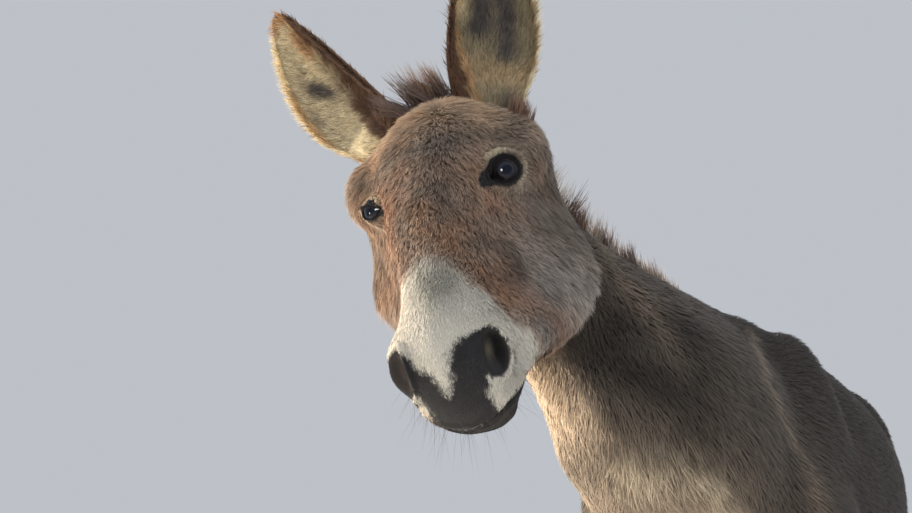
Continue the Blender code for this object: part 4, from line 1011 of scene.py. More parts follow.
def coat_size(points, gap):
    """(length, width, how far the tips stand off, density) of the hair."""
    h = to_head(points)
    x, a, d = h.T
    s = np.abs(x)
    head = on_head(points)
    y, z = points[:, 1], points[:, 2]
    face = 0.0145 - 0.0035 * ease(a, 0.18, 0.27) - 0.0040 * ease(a, 0.28, 0.35) - 0.0030 * ease(a, 0.37, 0.41)
    face = face + 0.0085 * ease(-d, -0.01, 0.06) * (1 - ease(a, 0.27, 0.35)) + 0.003 * (1 - ease(a, 0.03, 0.09))
    face = face * (0.36 + 0.64 * ease(gap, 0.004, 0.030))
    body = 0.0150 + 0.0032 * ease(-y, 0.33, 0.48) - 0.0040 * ease(-z, -0.62, -0.42) * (np.abs(points[:, 0]) > 0.03)
    body = body + 0.018 * streak(points, BREAST_TUFT, 0.030)
    body = np.where(z < 0.09, 0.011, body)
    length = face * head + body * (1 - head)
    wide = (0.00062 + 0.00020 * ease(-d, 0.0, 0.07)) * head + (0.00125 + 0.0003 * ease(y, -0.3, 0.1)) * (1 - head)
    wide = wide * (1 - 0.25 * ease(a, 0.33, 0.39) * head)
    stand = np.clip(coat_depth(points) / np.maximum(length, 1e-4), 0.12, 0.46 + 0.06 * (1 - head))
    dense = (1.0 + 0.6 * (1 - ease(gap, 0.01, 0.04)) + 0.5 * ease(a, 0.28, 0.34)) * head
    dense = dense + (1 - head) * (0.34 - 0.13 * ease(y, -0.30, 0.0) + 0.05 * (z < 0.4))
    return length, wide, stand, dense


# ---------------------------------------------------------------- the coat
def layout(points):
    """A map of the skin's own shape: head, neck, trunk and legs each unrolled in a band."""
    h = to_head(points)
    head = on_head(points) > 0.5
    y, z = points[:, 1], points[:, 2]
    u = np.arctan2(h[:, 0], h[:, 2] + 0.03) / (2 * math.pi) + 0.5
    v = (h[:, 1] + 0.06) / 0.54
    hv = np.stack([0.01 + 0.48 * u, 0.51 + 0.48 * np.clip(v, 0, 1)], 1)
    u = np.arctan2(points[:, 0], z - 0.80) / (2 * math.pi) + 0.5
    bv = np.stack([0.51 + 0.48 * u, 0.01 + 0.98 * np.clip((y + 0.70) / 1.32, 0, 1)], 1)
    leg = (z < 0.62) & (np.abs(points[:, 0]) > 0.03)
    k = (points[:, 0] > 0) * 2 + (y > 0)
    cy = np.where(y > 0, 0.44, -0.28)
    u = np.arctan2(np.abs(points[:, 0]) - 0.104, y - cy) / (2 * math.pi) + 0.5
    lv = np.stack([0.01 + 0.115 * k + 0.11 * u, 0.01 + 0.46 * np.clip(z / 0.62, 0, 1)], 1)
    out = np.where(head[:, None], hv, bv)
    return np.where((leg & ~head)[:, None], lv, out)


def scatter(verts, faces, weight, count, rng):
    """Points spread over a mesh by weight: positions, triangle and barycentric shares."""
    p = verts[faces]
    size = 0.5 * np.linalg.norm(np.cross(p[:, 1] - p[:, 0], p[:, 2] - p[:, 0]), axis=1) * weight
    total = np.cumsum(size)
    where = (np.arange(count) + rng.random(count)) / count * total[-1]
    k = np.minimum(np.searchsorted(total, where), len(faces) - 1)
    a, b = rng.random(count), rng.random(count)
    over = a + b > 1
    a[over], b[over] = 1 - a[over], 1 - b[over]
    share = np.stack([1 - a - b, a, b], 1)
    return (p[k] * share[..., None]).sum(1), k, share


def tufts(points, size):
    """The tuft each root belongs to, and the middle of that tuft."""
    cell = np.floor(points / size[:, None] if np.ndim(size) else points / size).astype(np.int64)
    cell = cell - cell.min(0)
    span = cell.max(0) + 1
    key = (cell[:, 0] * span[1] + cell[:, 1]) * span[2] + cell[:, 2]
    _, index = np.unique(key, return_inverse=True)
    index = index.reshape(-1)
    count = np.bincount(index).astype(float)
    middle = np.stack([np.bincount(index, points[:, k]) / count for k in range(3)], 1)
    return index, middle[index]


def blades(name, roots, normal, way, length, wide, stand, low, tip, uv, rng, slot, gather=0.45, cell=0.0075, deep=0.62, calm=0.0):
    """Thin three-triangle blades that rise from their roots and droop along the coat, in tufts."""
    n = len(roots)
    calm = np.zeros(n) + calm
    drift = np.stack([noise(roots, 0.012, 31 + k) - 0.5 for k in range(3)], 1) * 0.012
    index, middle = tufts(roots + drift, cell)
    middle = middle - drift
    tuft_count = index.max() + 1
    tuft_turn = (rng.random(tuft_count)[index] - 0.5) * 0.55 * (1 - 0.6 * calm)
    tuft_long = 1 + (rng.random(tuft_count)[index] - 0.5) * 0.36 * (1 - 0.6 * calm)
    tuft_tone = 1.01 + (rng.random(tuft_count)[index] - 0.5) * 0.34 * (1 - 0.75 * calm)
    gather = (gather * (1 - 0.7 * calm))[:, None]
    turn = tuft_turn + rng.normal(0, 0.16, n)
    across = unit(np.cross(way, normal))
    way = unit(way * np.cos(turn)[:, None] + across * np.sin(turn)[:, None])
    across = unit(np.cross(way, normal))
    length = length * tuft_long * (0.72 + 0.5 * rng.random(n))
    rise = stand * length * (1 - 0.25 * calm) * (0.80 + 0.35 * rng.random(n)) * (0.9 + 0.25 * rng.random(tuft_count)[index])
    roll = (rng.normal(0, 0.45, n) * (1 - 0.5 * calm))[:, None]
    broad = across * np.cos(roll) + normal * np.sin(roll)
    base = roots - normal * 0.0008
    reach = np.sqrt(np.maximum(length**2 - rise**2, (0.5 * length) ** 2))
    pull = (middle - roots) - ((middle - roots) * normal).sum(1)[:, None] * normal
    mid = base + way * (reach * 0.42)[:, None] + normal * (rise * 0.72 + 0.0008)[:, None] + pull * (gather * 0.35)
    end = base + way * reach[:, None] + normal * (rise + 0.0008)[:, None] + pull * gather
    half = broad * (wide * (0.75 + 0.5 * rng.random(n)) * 0.5)[:, None]
    verts = np.stack([base - half, base + half, mid - half * 0.85, mid + half * 0.85, end], 1).reshape(-1, 3)
    tri = np.array([(0, 1, 3), (0, 3, 2), (2, 3, 4)])
    faces = (np.arange(n)[:, None, None] * 5 + tri[None]).reshape(-1, 3)
    hair = rng.random(n)
    tone = tuft_tone * (1 + (rng.random(n) - 0.5) * 0.28 * (1 - 0.6 * calm))
    pale = np.clip(hair**1.3 + 0.25 * (tuft_tone - 1), 0, 1)[:, None]
    pale = mix(pale, 0.52, 0.60 * calm)
    root_c = low * ((deep + (1 - deep) * 0.7 * calm) * tone)[:, None]
    mid_c = (low + (tip - low) * pale * 0.55) * (0.95 * tone)[:, None]
    tip_c = (low + (tip - low) * (0.25 + 0.75 * pale)) * (1.05 * tone)[:, None]
    tones = np.stack([root_c, root_c, mid_c, mid_c, tip_c], 1).reshape(-1, 3)
    step = 0.0015
    patch = np.array([(-step, -step), (step, -step), (-step, 0), (step, 0), (0, step)])
    uvs = (uv[:, None] + patch[None]).reshape(-1, 2)
    made = []
    most = 62000
    pieces = max(1, math.ceil(n / most))
    for k in range(pieces):
        lo, hi = k * n // pieces, (k + 1) * n // pieces
        part = mesh_of(f"{name}_{k + 1}" if pieces > 1 else name, verts[lo * 5:hi * 5], faces[lo * 3:hi * 3] - lo * 5,
                       tones[lo * 5:hi * 5], uvs[lo * 5:hi * 5])
        made.append(part)
        finish_piece(part, HAIR, slot)
    return made


def strands(name, roots, ways, bend, length, wide, low, tip, uv, rng, slot, segments=5, wave=0.0, face_to=None, taper=0.85):
    """Long hair: narrow strips of several segments, each bending steadily towards bend."""
    n = len(roots)
    t = np.linspace(0, 1, segments + 1)
    way = unit(ways)
    spine = [roots]
    current = roots.copy()
    phase = rng.random(n) * 6.28
    side = unit(np.cross(way, unit(np.asarray(bend, float) + 0.01) if np.ndim(bend) == 1 else unit(bend + 0.01)))
    for k in range(segments):
        way = unit(way + np.asarray(bend) * (1.0 / segments) + side * (wave * np.sin(phase + 5.0 * t[k]))[:, None])
        current = current + way * (length / segments)[:, None]
        spine.append(current)
    spine = np.stack(spine, 1)
    along = unit(np.gradient(spine, axis=1))
    if face_to is None:
        face_to = rng.normal(0, 1, (n, 3))
    across = unit(np.cross(along, face_to[:, None] + 0 * along))
    half = 0.5 * wide[:, None] * (1 - taper * t[None] ** 1.5)
    left = spine - across * half[..., None]
    right = spine + across * half[..., None]
    verts = np.stack([left, right], 2).reshape(-1, 3)
    rows = segments + 1
    tri = []
    for k in range(segments):
        a = 2 * k
        tri += [(a, a + 1, a + 3), (a, a + 3, a + 2)]
    tri = np.array(tri)
    faces = (np.arange(n)[:, None, None] * rows * 2 + tri[None]).reshape(-1, 3)
    shade = (0.8 + 0.4 * rng.random(n))[:, None, None]
    tones = (low[:, None] + (tip - low)[:, None] * t[None, :, None] ** 1.4) * shade * (0.7 + 0.3 * np.minimum(1, 3 * t))[None, :, None]
    tones = np.repeat(tones[:, :, None], 2, axis=2).reshape(-1, 3)
    step = 0.0015
    patch = np.stack([np.stack([np.full(rows, -step), (t - 0.5) * 2 * step], 1), np.stack([np.full(rows, step), (t - 0.5) * 2 * step], 1)], 1)
    uvs = (uv[:, None, None] + patch[None]).reshape(-1, 2)
    part = mesh_of(name, verts, faces, tones, uvs)
    finish_piece(part, LONG, slot)
    return part


# ---------------------------------------------------------------- materials
def toned(name, rough, grain, depth, sheen=0.0, contrast=0.25, **more):
    """A material that takes the vertex tones, colour marks and painted light alike, and varies them finely."""
    material, shader = principled(name, (0.2, 0.16, 0.13), rough, **more)
    tree = material.node_tree
    tone = tree.nodes.new("ShaderNodeAttribute")
    tone.attribute_name = "tone"
    place = tree.nodes.new("ShaderNodeTexCoord")
    fine = tree.nodes.new("ShaderNodeTexNoise")
    fine.inputs["Scale"].default_value = grain
    fine.inputs["Detail"].default_value = 3
    tree.links.new(place.outputs["Object"], fine.inputs["Vector"])
    ramp = tree.nodes.new("ShaderNodeMapRange")
    ramp.inputs["From Min"].default_value = 0.3
    ramp.inputs["From Max"].default_value = 0.7
    ramp.inputs["To Min"].default_value = 1 - contrast
    ramp.inputs["To Max"].default_value = 1 + contrast
    tree.links.new(fine.outputs["Fac"], ramp.inputs["Value"])
    vary = tree.nodes.new("ShaderNodeVectorMath")
    vary.operation = "SCALE"
    tree.links.new(tone.outputs["Color"], vary.inputs[0])
    tree.links.new(ramp.outputs["Result"], vary.inputs["Scale"])
    tree.links.new(vary.outputs["Vector"], shader.inputs["Base Color"])
    if depth:
        bump = tree.nodes.new("ShaderNodeBump")
        bump.inputs["Strength"].default_value = 0.6
        bump.inputs["Distance"].default_value = depth
        tree.links.new(fine.outputs["Fac"], bump.inputs["Height"])
        tree.links.new(bump.outputs["Normal"], shader.inputs["Normal"])
    if sheen:
        shader.inputs["Sheen Weight"].default_value = sheen
        shader.inputs["Sheen Roughness"].default_value = 0.5
    return material


HAIR = toned("coat_hair", 0.62, 900, 0.0, sheen=0.15, contrast=0.16)
HAIR.node_tree.nodes["Principled BSDF"].inputs["Specular IOR Level"].default_value = 0.30
LONG = toned("long_hair", 0.50, 700, 0.0, sheen=0.10, contrast=0.22)
HIDE = toned("hide", 0.72, 1500, 0.0006, contrast=0.22)
BARE = toned("bare_skin", 0.42, 2600, 0.0003, contrast=0.12)
LID = toned("lid_skin", 0.50, 1800, 0.0002, contrast=0.15)
LID.node_tree.nodes["Principled BSDF"].inputs["Specular IOR Level"].default_value = 0.14
EYEBALL = toned("eye_wet", 0.05, 300, 0.0, contrast=0.05)
EYEBALL.node_tree.nodes["Principled BSDF"].inputs["Specular IOR Level"].default_value = 0.16
HOOFSTUFF = toned("hoof_horn", 0.48, 420, 0.0005, contrast=0.30)


def finish_piece(obj, material, slot, *nodes):
    obj.data.materials.append(material)
    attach(obj, "root")
    if nodes:
        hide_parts(*nodes)
    return obj


# ---------------------------------------------------------------- skin piece
LOW, TIP, DARK, GAP, PLAIN_LOW, PLAIN_TIP = markings_and_painted_light(SKIN, SKIN_N)
skin_tone = LOW * 0.80
skin_tone = mix(skin_tone, CHAR * 0.36 + 0.012 * (noise(SKIN, 0.003, 41) * noise(SKIN, 0.009, 42))[:, None], DARK * 0.97)
for side in (1, -1):
    up, across, out = nostril_frame(SKIN, side)
    f = nostril_reach(up, across)
    # inside the nostrils: the right one brownish, as painted sunlight inside it; the left one near-black towards its
    # outer side, as painted shade deep in the hole; an olive patch on the left one's inner wall
    lit = (1 - ease(f, 0.70, 1.10)) * (np.abs(out) < 0.05)
    skin_tone = mix(skin_tone, CHAR * 1.0 if side > 0 else np.array((0.040, 0.031, 0.028)), lit * 0.95)
    skin_tone = mix(skin_tone, np.array((0.130, 0.117, 0.080)), 0.9 * lit * np.exp(-((up - 0.002) / 0.0085) ** 2 - ((across + 0.0028) / 0.0052) ** 2) * (side > 0))
    skin_tone = mix(skin_tone, np.array((0.006, 0.006, 0.007)), ease(across, 0.002, 0.0055) * (1 - ease(f, 0.9, 1.25)) * (np.abs(out) < 0.05) * (side > 0))
skin = mesh_of("skin", SKIN, SKIN_FACES, skin_tone)
finish_piece(skin, HIDE, "coat", "head", "neck", "trunk", "tail", "foreleg_left", "foreleg_right", "hindleg_left", "hindleg_right")

rng = np.random.default_rng(7)
print("coat", flush=True)
centre = SKIN[SKIN_FACES].mean(1)
c_norm = SKIN_N[SKIN_FACES].mean(1)
c_gap = GAP[SKIN_FACES].mean(1)
c_dark = DARK[SKIN_FACES].mean(1)
length_, wide_, stand_, dense_ = coat_size(centre, c_gap)
dense_ = dense_ * (1 - 0.25 * c_dark) * (c_gap > 0.0010)
dense_[centre[:, 2] < 0.050] = 0
for side in (1, -1):
    up, across, out = nostril_frame(centre, side)
    f = nostril_reach(up, across)
    dense_[(f < 1.15) & (np.abs(out) < 0.03)] = 0
far, above = mouth_frame(to_head(centre))
dense_[far < 0.0028] = 0
region = on_head(centre)


CALM = np.where(on_head(SKIN) > 0.5, np.maximum(white_muzzle(to_head(SKIN)), 0.30), 0.85 - 0.55 * streak(SKIN, BREAST_TUFT, 0.035))


def coat_piece(name, choose, count, cell, deep):
    weight = dense_ * choose
    roots, k, share = scatter(SKIN, SKIN_FACES, weight, int(count * SHARE), rng)
    corner = SKIN_FACES[k]

    def read(values):
        return (values[corner] * (share[..., None] if values.ndim == 2 else share)).sum(1)

    normal = unit(read(SKIN_N))
    gap = read(GAP)
    length, wide, stand, _ = coat_size(roots, gap)
    if SHARE < 1:
        wide = wide / math.sqrt(SHARE)
    dark = read(DARK)
    pick = rng.random(len(roots))
    charred = ease(1.25 * dark, pick - 0.22, pick + 0.22) * (dark > 0.03)
    hr = to_head(roots)
    # paler hairs on the upper lip and between the nostrils, lighter towards the lip, with bluish tips: partly real
    # grizzle, partly painted sheen
    pale_hair_and_sheen = spot(hr, (0.006, 0.447, 0.020), (0.026, 0.011, 0.018)) + 0.8 * spot(hr, (0.028, 0.425, 0.055), (0.010, 0.012, 0.020))
    grizzle_and_sheen = ((0.30 + (1.0 + 3.6 * np.clip(pale_hair_and_sheen, 0, 1)) * rng.random(len(roots)) ** 3) * (0.55 + 0.9 * noise(roots, 0.008, 43)))[:, None]
    grizzle_and_sheen = grizzle_and_sheen * (0.62 + 0.85 * ease(hr[:, 1], 0.405, 0.440))[:, None]
    low = mix(read(PLAIN_LOW), CHAR * 0.45 * grizzle_and_sheen, charred)
    tip = mix(read(PLAIN_TIP), CHAR * (1.00, 1.10, 1.40) * grizzle_and_sheen, charred)
    length = length * (1 - 0.60 * dark)
    return blades(name, roots, normal, lie(roots, normal), length, wide, stand * (1 - 0.3 * dark), low, tip, layout(roots), rng, "coat",
                  cell=cell, deep=deep, calm=read(CALM))


coat_piece("coat_head", region, 165000, 0.0060, 0.78)
coat_piece("coat_neck", (1 - region) * (centre[:, 1] < -0.36), 100000, 0.0060, 0.92)
coat_piece("coat_body", (1 - region) * (centre[:, 1] >= -0.36), 130000, 0.0070, 0.92)


# ---------------------------------------------------------------- eyes and lids
def eye_piece(side, word):
    middle = at_head(EYE[0] * side, EYE[1], EYE[2])
    mirror = np.array((side, 1, 1))
    iris_way = unit((0.40, 0.64, 0.66))
    gaze = (iris_way * mirror) @ HEAD_AXES.T
    along = unit(ALONG - (ALONG @ iris_way) * iris_way)
    across = np.cross(iris_way, along)
    along, across = (along * mirror) @ HEAD_AXES.T, (across * mirror) @ HEAD_AXES.T
    rings, count = 56, 72
    t = np.linspace(0, math.pi, rings)
    u = np.arange(count) * 2 * math.pi / count
    r = EYE_R + 0.0011 * (1 - ease(t, 0.30, 0.62))
    pts = (r * np.cos(t))[:, None, None] * gaze + (r * np.sin(t))[:, None, None] * (np.cos(u)[:, None] * along + np.sin(u)[:, None] * across)
    faces = grid_faces(rings, count, closed=True, flip=side < 0)
    flat = pts.reshape(-1, 3)
    tt = np.repeat(t, count)
    uu = np.tile(u, rings)
    px, py = np.sin(tt) * np.cos(uu), np.sin(tt) * np.sin(uu)
    pupil = 1 - ease(np.hypot(px / 0.36, py / 0.25), 0.88, 1.08)
    iris = 1 - ease(np.sin(tt) + (tt > 1.5), 0.40, 0.50)
    stria = 0.75 + 0.5 * noise(np.stack([uu * 9, tt * 2, 0 * tt], 1) * 0.01, 0.004, 51)
    tone = np.tile(np.array((0.009, 0.007, 0.008)), (len(flat), 1))
    # dark iris tinted blue-grey: the blue-grey is a painted reflection
    tone = mix(tone, np.array((0.022, 0.025, 0.036)), iris)
    tone = tone * (1 + (stria - 1) * iris)[:, None]
    tone = mix(tone, np.array((0.005, 0.005, 0.006)), np.exp(-((np.sin(tt) - 0.54) / 0.05) ** 2) * (tt < 1.5))
    tone = mix(tone, np.array((0.004, 0.007, 0.015)), pupil)
    obj = mesh_of(f"eyeball_{word}", flat + middle, faces, tone)
    finish_piece(obj, EYEBALL, "eye", f"eye_{word}")


def lid_piece(side, word):
    mirror = np.array((side, 1, 1))
    middle = at_head(EYE[0] * side, EYE[1], EYE[2])
    count = 120
    turn = np.arange(count) * 2 * math.pi / count
    alpha = LID_LONG * OPEN[side][0] * np.cos(turn)
    beta = lid_tall(alpha) * np.sin(turn) * np.where(np.sin(turn) > 0, *OPEN[side][1:])
    corner = np.exp(-(np.where(turn > math.pi, turn - 2 * math.pi, turn) / 0.22) ** 2)
    alpha = alpha + 0.28 * corner
    #            reach  height over the ball
    profile = ((0.86, -0.0010), (0.93, 0.0002), (0.965, 0.0011), (1.00, 0.0021), (1.05, 0.0028), (1.11, 0.0025),
               (1.18, 0.0012), (1.27, -0.0010), (1.38, -0.0040), (1.52, -0.0075))
    rows, tones = [], []
    for k, (reach, height) in enumerate(profile):
        bulk = 1.0 + 0.35 * (np.sin(turn) > 0) * np.abs(np.sin(turn)) * (0.95 < reach < 1.25)
        theta = np.minimum(np.hypot(alpha, beta) * reach, 1.62)
        psi = np.arctan2(beta, alpha)
        way = (np.cos(theta)[:, None] * GAZE + (np.sin(theta) * np.cos(psi))[:, None] * ALONG
               + (np.sin(theta) * np.sin(psi))[:, None] * ACROSS)
        rows.append(((EYE_R + height * bulk)[:, None] * way * mirror) @ HEAD_AXES.T + middle)
        wet = np.array((0.007, 0.006, 0.006)) if reach < 1.0 else np.array((0.006, 0.0055, 0.0065))
        tones.append(np.tile(wet, (count, 1)))
    verts = np.concatenate(rows)
    flip = side > 0
    obj = mesh_of(f"lids_{word}", verts, grid_faces(len(rows), count, closed=True, flip=flip), np.concatenate(tones))
    finish_piece(obj, LID, "eye")
    # lashes along the upper lid
    pick = np.linspace(0.22 * math.pi, 0.86 * math.pi, 64) + rng.normal(0, 0.012, 64)
    a2 = LID_LONG * OPEN[side][0] * np.cos(pick)
    b2 = lid_tall(a2) * np.sin(pick) * OPEN[side][1]
    theta, psi = np.hypot(a2, b2) * 1.03, np.arctan2(b2, a2)
    way = (np.cos(theta)[:, None] * GAZE + (np.sin(theta) * np.cos(psi))[:, None] * ALONG + (np.sin(theta) * np.sin(psi))[:, None] * ACROSS)
    roots = (way * (EYE_R + 0.0026) * mirror) @ HEAD_AXES.T + middle
    out = unit(way * 0.6 + GAZE * 0.7 + ACROSS * 0.35)
    out = (out * mirror) @ HEAD_AXES.T
    bend = (unit(-ACROSS * 0.5 + GAZE * 0.5) * mirror) @ HEAD_AXES.T
    n = len(roots)
    strands(f"lashes_{word}", roots, out + rng.normal(0, 0.10, (n, 3)), bend * 0.5, np.full(n, 0.0095 if side > 0 else 0.0045) * (0.7 + 0.5 * rng.random(n)),
            np.full(n, 0.00040), np.tile(CHAR, (n, 1)), np.tile(CHAR * 1.5, (n, 1)), np.tile((0.5, 0.5), (n, 1)) + rng.random((n, 2)) * 0.01,
            rng, "long_hair", segments=4)


for side, word in ((1, "left"), (-1, "right")):
    eye_piece(side, word)
    lid_piece(side, word)


# ---------------------------------------------------------------- ears
def ear_surface(side, t, u, inset=0.0, inner=False):
    """Points of the ear at height t and turn u across it, on its back or in its hollow."""
    root, *aims, swell, breadth = EARS[side]
    way, face = (HEAD_AXES @ np.array(v) for v in aims)
    way = unit(way)
    face = unit(face - (face @ way) * way)
    wide = np.cross(way, face)
    if wide @ HEAD_AXES[:, 0] < 0:
        wide = -wide
    keys = (-0.12, 0.0, 0.10, 0.22, 0.40, 0.58, 0.74, 0.87, 0.95, 1.0)
    half = spline(t, keys, np.array((0.58, 0.70, 0.80, 0.93, 0.98, 0.89, 0.70, 0.47, 0.29, 0.09)) * breadth * EAR_WIDTH / 2)[:, 0]
    back = spline(t, keys, (0.024, 0.029, 0.032, 0.034, 0.032, 0.028, 0.022, 0.015, 0.009, 0.004))[:, 0]
    front = spline(t, keys, (0.022, 0.024, 0.014, -0.010, -0.019, -0.018, -0.013, -0.007, -0.003, 0.0))[:, 0]
    half = np.maximum(half - inset * 1.2, 0.002)
    back = np.maximum(back - inset, 0.001)
    clip = np.clip(t, 0, 1)
    base = at_head(root, 0.012, 0.022)
    centre = (base + way * (t * EAR_LENGTH)[:, None] - face * (0.010 * np.sin(math.pi * clip))[:, None]
              + wide * (swell * np.sin(math.pi * clip**0.9) * side)[:, None])
    s, c = np.sin(u * math.pi / 2), np.cos(u * math.pi / 2)
    if inner:
        x, y = half * s * 0.985, (front - inset * 0.6) * c + 0.0010
    else:
        x, y = half * s, -back * c - 0.0008
    return centre + wide * x[:, None] + face * y[:, None], way, face, wide


def ear_piece(side, word):
    rows, cols = 64, 22
    t = np.linspace(-0.10, 0.985, rows)
    u = np.linspace(-1, 1, cols)
    T, U = np.meshgrid(t, u, indexing="ij")
    inset = 0.0026
    outer, way, face, wide = ear_surface(side, T.ravel(), U.ravel(), inset)
    inner, *_ = ear_surface(side, T.ravel(), U.ravel()[::1], inset, inner=True)
    outer = outer.reshape(rows, cols, 3)
    inner = inner.reshape(rows, cols, 3)[:, ::-1]
    # folds that run up the hollow
    v = u[::-1]
    if side < 0:
        lift = 0.0045 * np.exp(-((v - 0.22) / 0.10) ** 2) - 0.0030 * ease(v, 0.34, 0.55) * (1 - ease(v, 0.80, 0.98))
    else:
        lift = 0.0026 * np.exp(-((v - 0.04) / 0.09) ** 2) + 0.0022 * np.exp(-((v + 0.40) / 0.10) ** 2)
    lift = lift[None, :, None]
    fade = (ease(t, 0.05, 0.25) * (1 - ease(t, 0.70, 0.92)))[:, None, None]
    inner = inner + face * lift * fade
    ring = np.concatenate([outer, inner], 1)
    count = cols * 2
    flat = ring.reshape(-1, 3)
    faces = grid_faces(rows, count, closed=True)
    n = len(flat)
    caps = np.stack([ring[0].mean(0), ring[-1].mean(0)])
    j = np.arange(count)
    k = (j + 1) % count
    faces = np.concatenate([faces, np.stack([k, j, np.full(count, n)], 1), np.stack([j + n - count, k + n - count, np.full(count, n + 1)], 1)])
    verts = np.concatenate([flat, caps])
    normals = normals_of(verts, faces)
    if ((verts - ring.mean(axis=(0, 1))) * normals).sum() < 0:
        faces = faces[:, ::-1]
        normals = -normals
    tt = np.concatenate([np.repeat(t, count), t[[0, -1]]])
    uu = np.concatenate([np.tile(np.concatenate([u, u[::-1]]), rows), (0, 0)])
    ins = np.concatenate([np.tile(np.concatenate([np.zeros(cols), np.ones(cols)]), rows), (0, 0)])
    # colours: u runs across the ear, +1 at the animal's left
    wob = 0.16 * (noise(verts, 0.014, 61) - 0.5) + 0.10 * (noise(verts, 0.005, 63) - 0.5)
    count_ = len(verts)
    low_in = np.tile(EARCREAM * (0.72, 0.66, 0.56), (count_, 1))
    tip_in = np.tile(EARCREAM * 1.12, (count_, 1))
    tan = np.array((0.560, 0.300, 0.130))
    if side < 0:
        # painted light: the right ear's hollow hair made lighter and bluer
        tip_in = tip_in * (1.08, 1.13, 1.22)
        edge_at = np.interp(tt, (0.0, 0.16, 0.30, 0.50, 0.80, 0.92, 1.0), (0.10, 0.12, 0.20, 0.30, 0.32, 0.38, 0.45))
        strip = ease(uu + 0.6 * wob - edge_at, -0.05, 0.05)
        line = np.exp(-((uu + 0.5 * wob - edge_at + 0.06) / 0.07) ** 2) * ease(tt, 0.62, 0.74)
        patch = (np.exp(-((tt + 0.26 * uu - 0.525) / 0.062) ** 2 - ((uu + 0.08) / 0.26) ** 2) * 1.5
                 + 0.60 * np.exp(-((uu + 0.52) / 0.14) ** 2 - ((tt - 0.43) / 0.08) ** 2)
                 + 0.30 * np.exp(-((uu + 0.20) / 0.12) ** 2 - ((tt - 0.72) / 0.06) ** 2)
                 + 0.35 * np.exp(-((uu - 0.12) / 0.10) ** 2 - ((tt - 0.38) / 0.10) ** 2))
        gold = ease(-uu + wob, 0.62, 0.84) * (1 - ease(tt, 0.58, 0.72))
        rim = np.maximum(ease(np.abs(uu) + wob, 0.93, 1.0) * 0.5, 0)
    else:
        edge_at = np.interp(tt, (0.0, 0.20, 0.40, 0.70, 1.0), (0.36, 0.44, 0.66, 0.82, 0.90))
        strip = ease(-uu + wob - edge_at, -0.05, 0.05)
        line = np.exp(-((-uu + 0.5 * wob - edge_at + 0.09) / 0.06) ** 2) * 0.8
        patch = (1.25 * np.exp(-((uu + 0.17) / 0.20) ** 2) * ease(tt, 0.32, 0.44) * (1 - 0.55 * ease(tt, 0.66, 0.86))
                 + 1.25 * np.exp(-((uu - 0.26) / 0.18) ** 2) * ease(tt, 0.22, 0.32) * (1 - ease(tt, 0.56, 0.72))
                 + 0.90 * np.exp(-((uu - 0.35) / 0.16) ** 2 - ((tt - 0.02) / 0.045) ** 2))
        gold = 0.55 * np.exp(-((tt - 0.17) / 0.09) ** 2) + 0.7 * ease(uu, 0.90, 0.97)
        rim = 0 * uu
        # painted shade: most of the left ear's hollow darkened
        painted_ear_shade = 1 - ease(-uu, 0.25, 0.40) * ease(tt, 0.42, 0.54)
        low_in = mix(low_in, np.array((0.190, 0.158, 0.096)), painted_ear_shade * 0.92)
        tip_in = mix(tip_in, np.array((0.330, 0.285, 0.190)), painted_ear_shade * 0.92)
    patch = np.clip(patch * (0.70 + 0.6 * noise(verts, 0.008, 62)), 0, 1)
    low_in = mix(low_in, np.array((0.600, 0.370, 0.170)) * 0.75, np.clip(gold, 0, 1) * 0.7)
    tip_in = mix(tip_in, np.array((0.720, 0.480, 0.240)), np.clip(gold, 0, 1) * 0.7)
    low_in = mix(low_in, np.array((0.050, 0.044, 0.047)), patch * 0.95)
    tip_in = mix(tip_in, np.array((0.085, 0.078, 0.080)), patch * 0.95)
    low_in = mix(low_in, BROWN * 0.8, np.clip(np.maximum(strip, rim), 0, 1) * 0.97)
    tip_in = mix(tip_in, BROWN * 1.5, np.clip(np.maximum(strip, rim), 0, 1) * 0.95)
    top_ = ease(tt + 0.3 * wob, 0.90, 0.95) * (0.75 if side < 0 else 0.5)
    low_in = mix(low_in, tan * 0.8, np.clip(line + top_, 0, 1) * 0.9)
    tip_in = mix(tip_in, tan * 1.35, np.clip(line + top_, 0, 1) * 0.9)
    low_out = np.tile(GREY * (0.75, 0.62, 0.52), (len(verts), 1))
    tip_out = np.tile(np.array((0.230, 0.140, 0.085)), (len(verts), 1))
    dark = np.maximum(ease(tt + wob, 0.62, 0.92), 0.75 * ease(np.abs(uu) + wob, 0.60, 0.90))
    low_out = mix(low_out, BROWN * 0.8, dark)
    tip_out = mix(tip_out, BROWN * 1.9, dark)
    low = np.where(ins[:, None] > 0.5, low_in, low_out)
    tip = np.where(ins[:, None] > 0.5, tip_in, tip_out)
    obj = mesh_of(f"ear_shell_{word}", verts, faces, low * 0.85)
    finish_piece(obj, HIDE, "ear_coat", f"ear_{word}")

    edge = np.clip(np.abs(uu), 0, 1)
    c_t = tt[faces].mean(1)
    c_in = ins[faces].mean(1)
    weight = np.where(c_t < -0.02, 0.0, 1.0) * np.where(c_in > 0.5, 1.15, 1.0)
    roots, k, share = scatter(verts, faces, weight, int(28000 * SHARE), rng)
    corner = faces[k]

    def read(values):
        return (values[corner] * (share[..., None] if values.ndim == 2 else share)).sum(1)

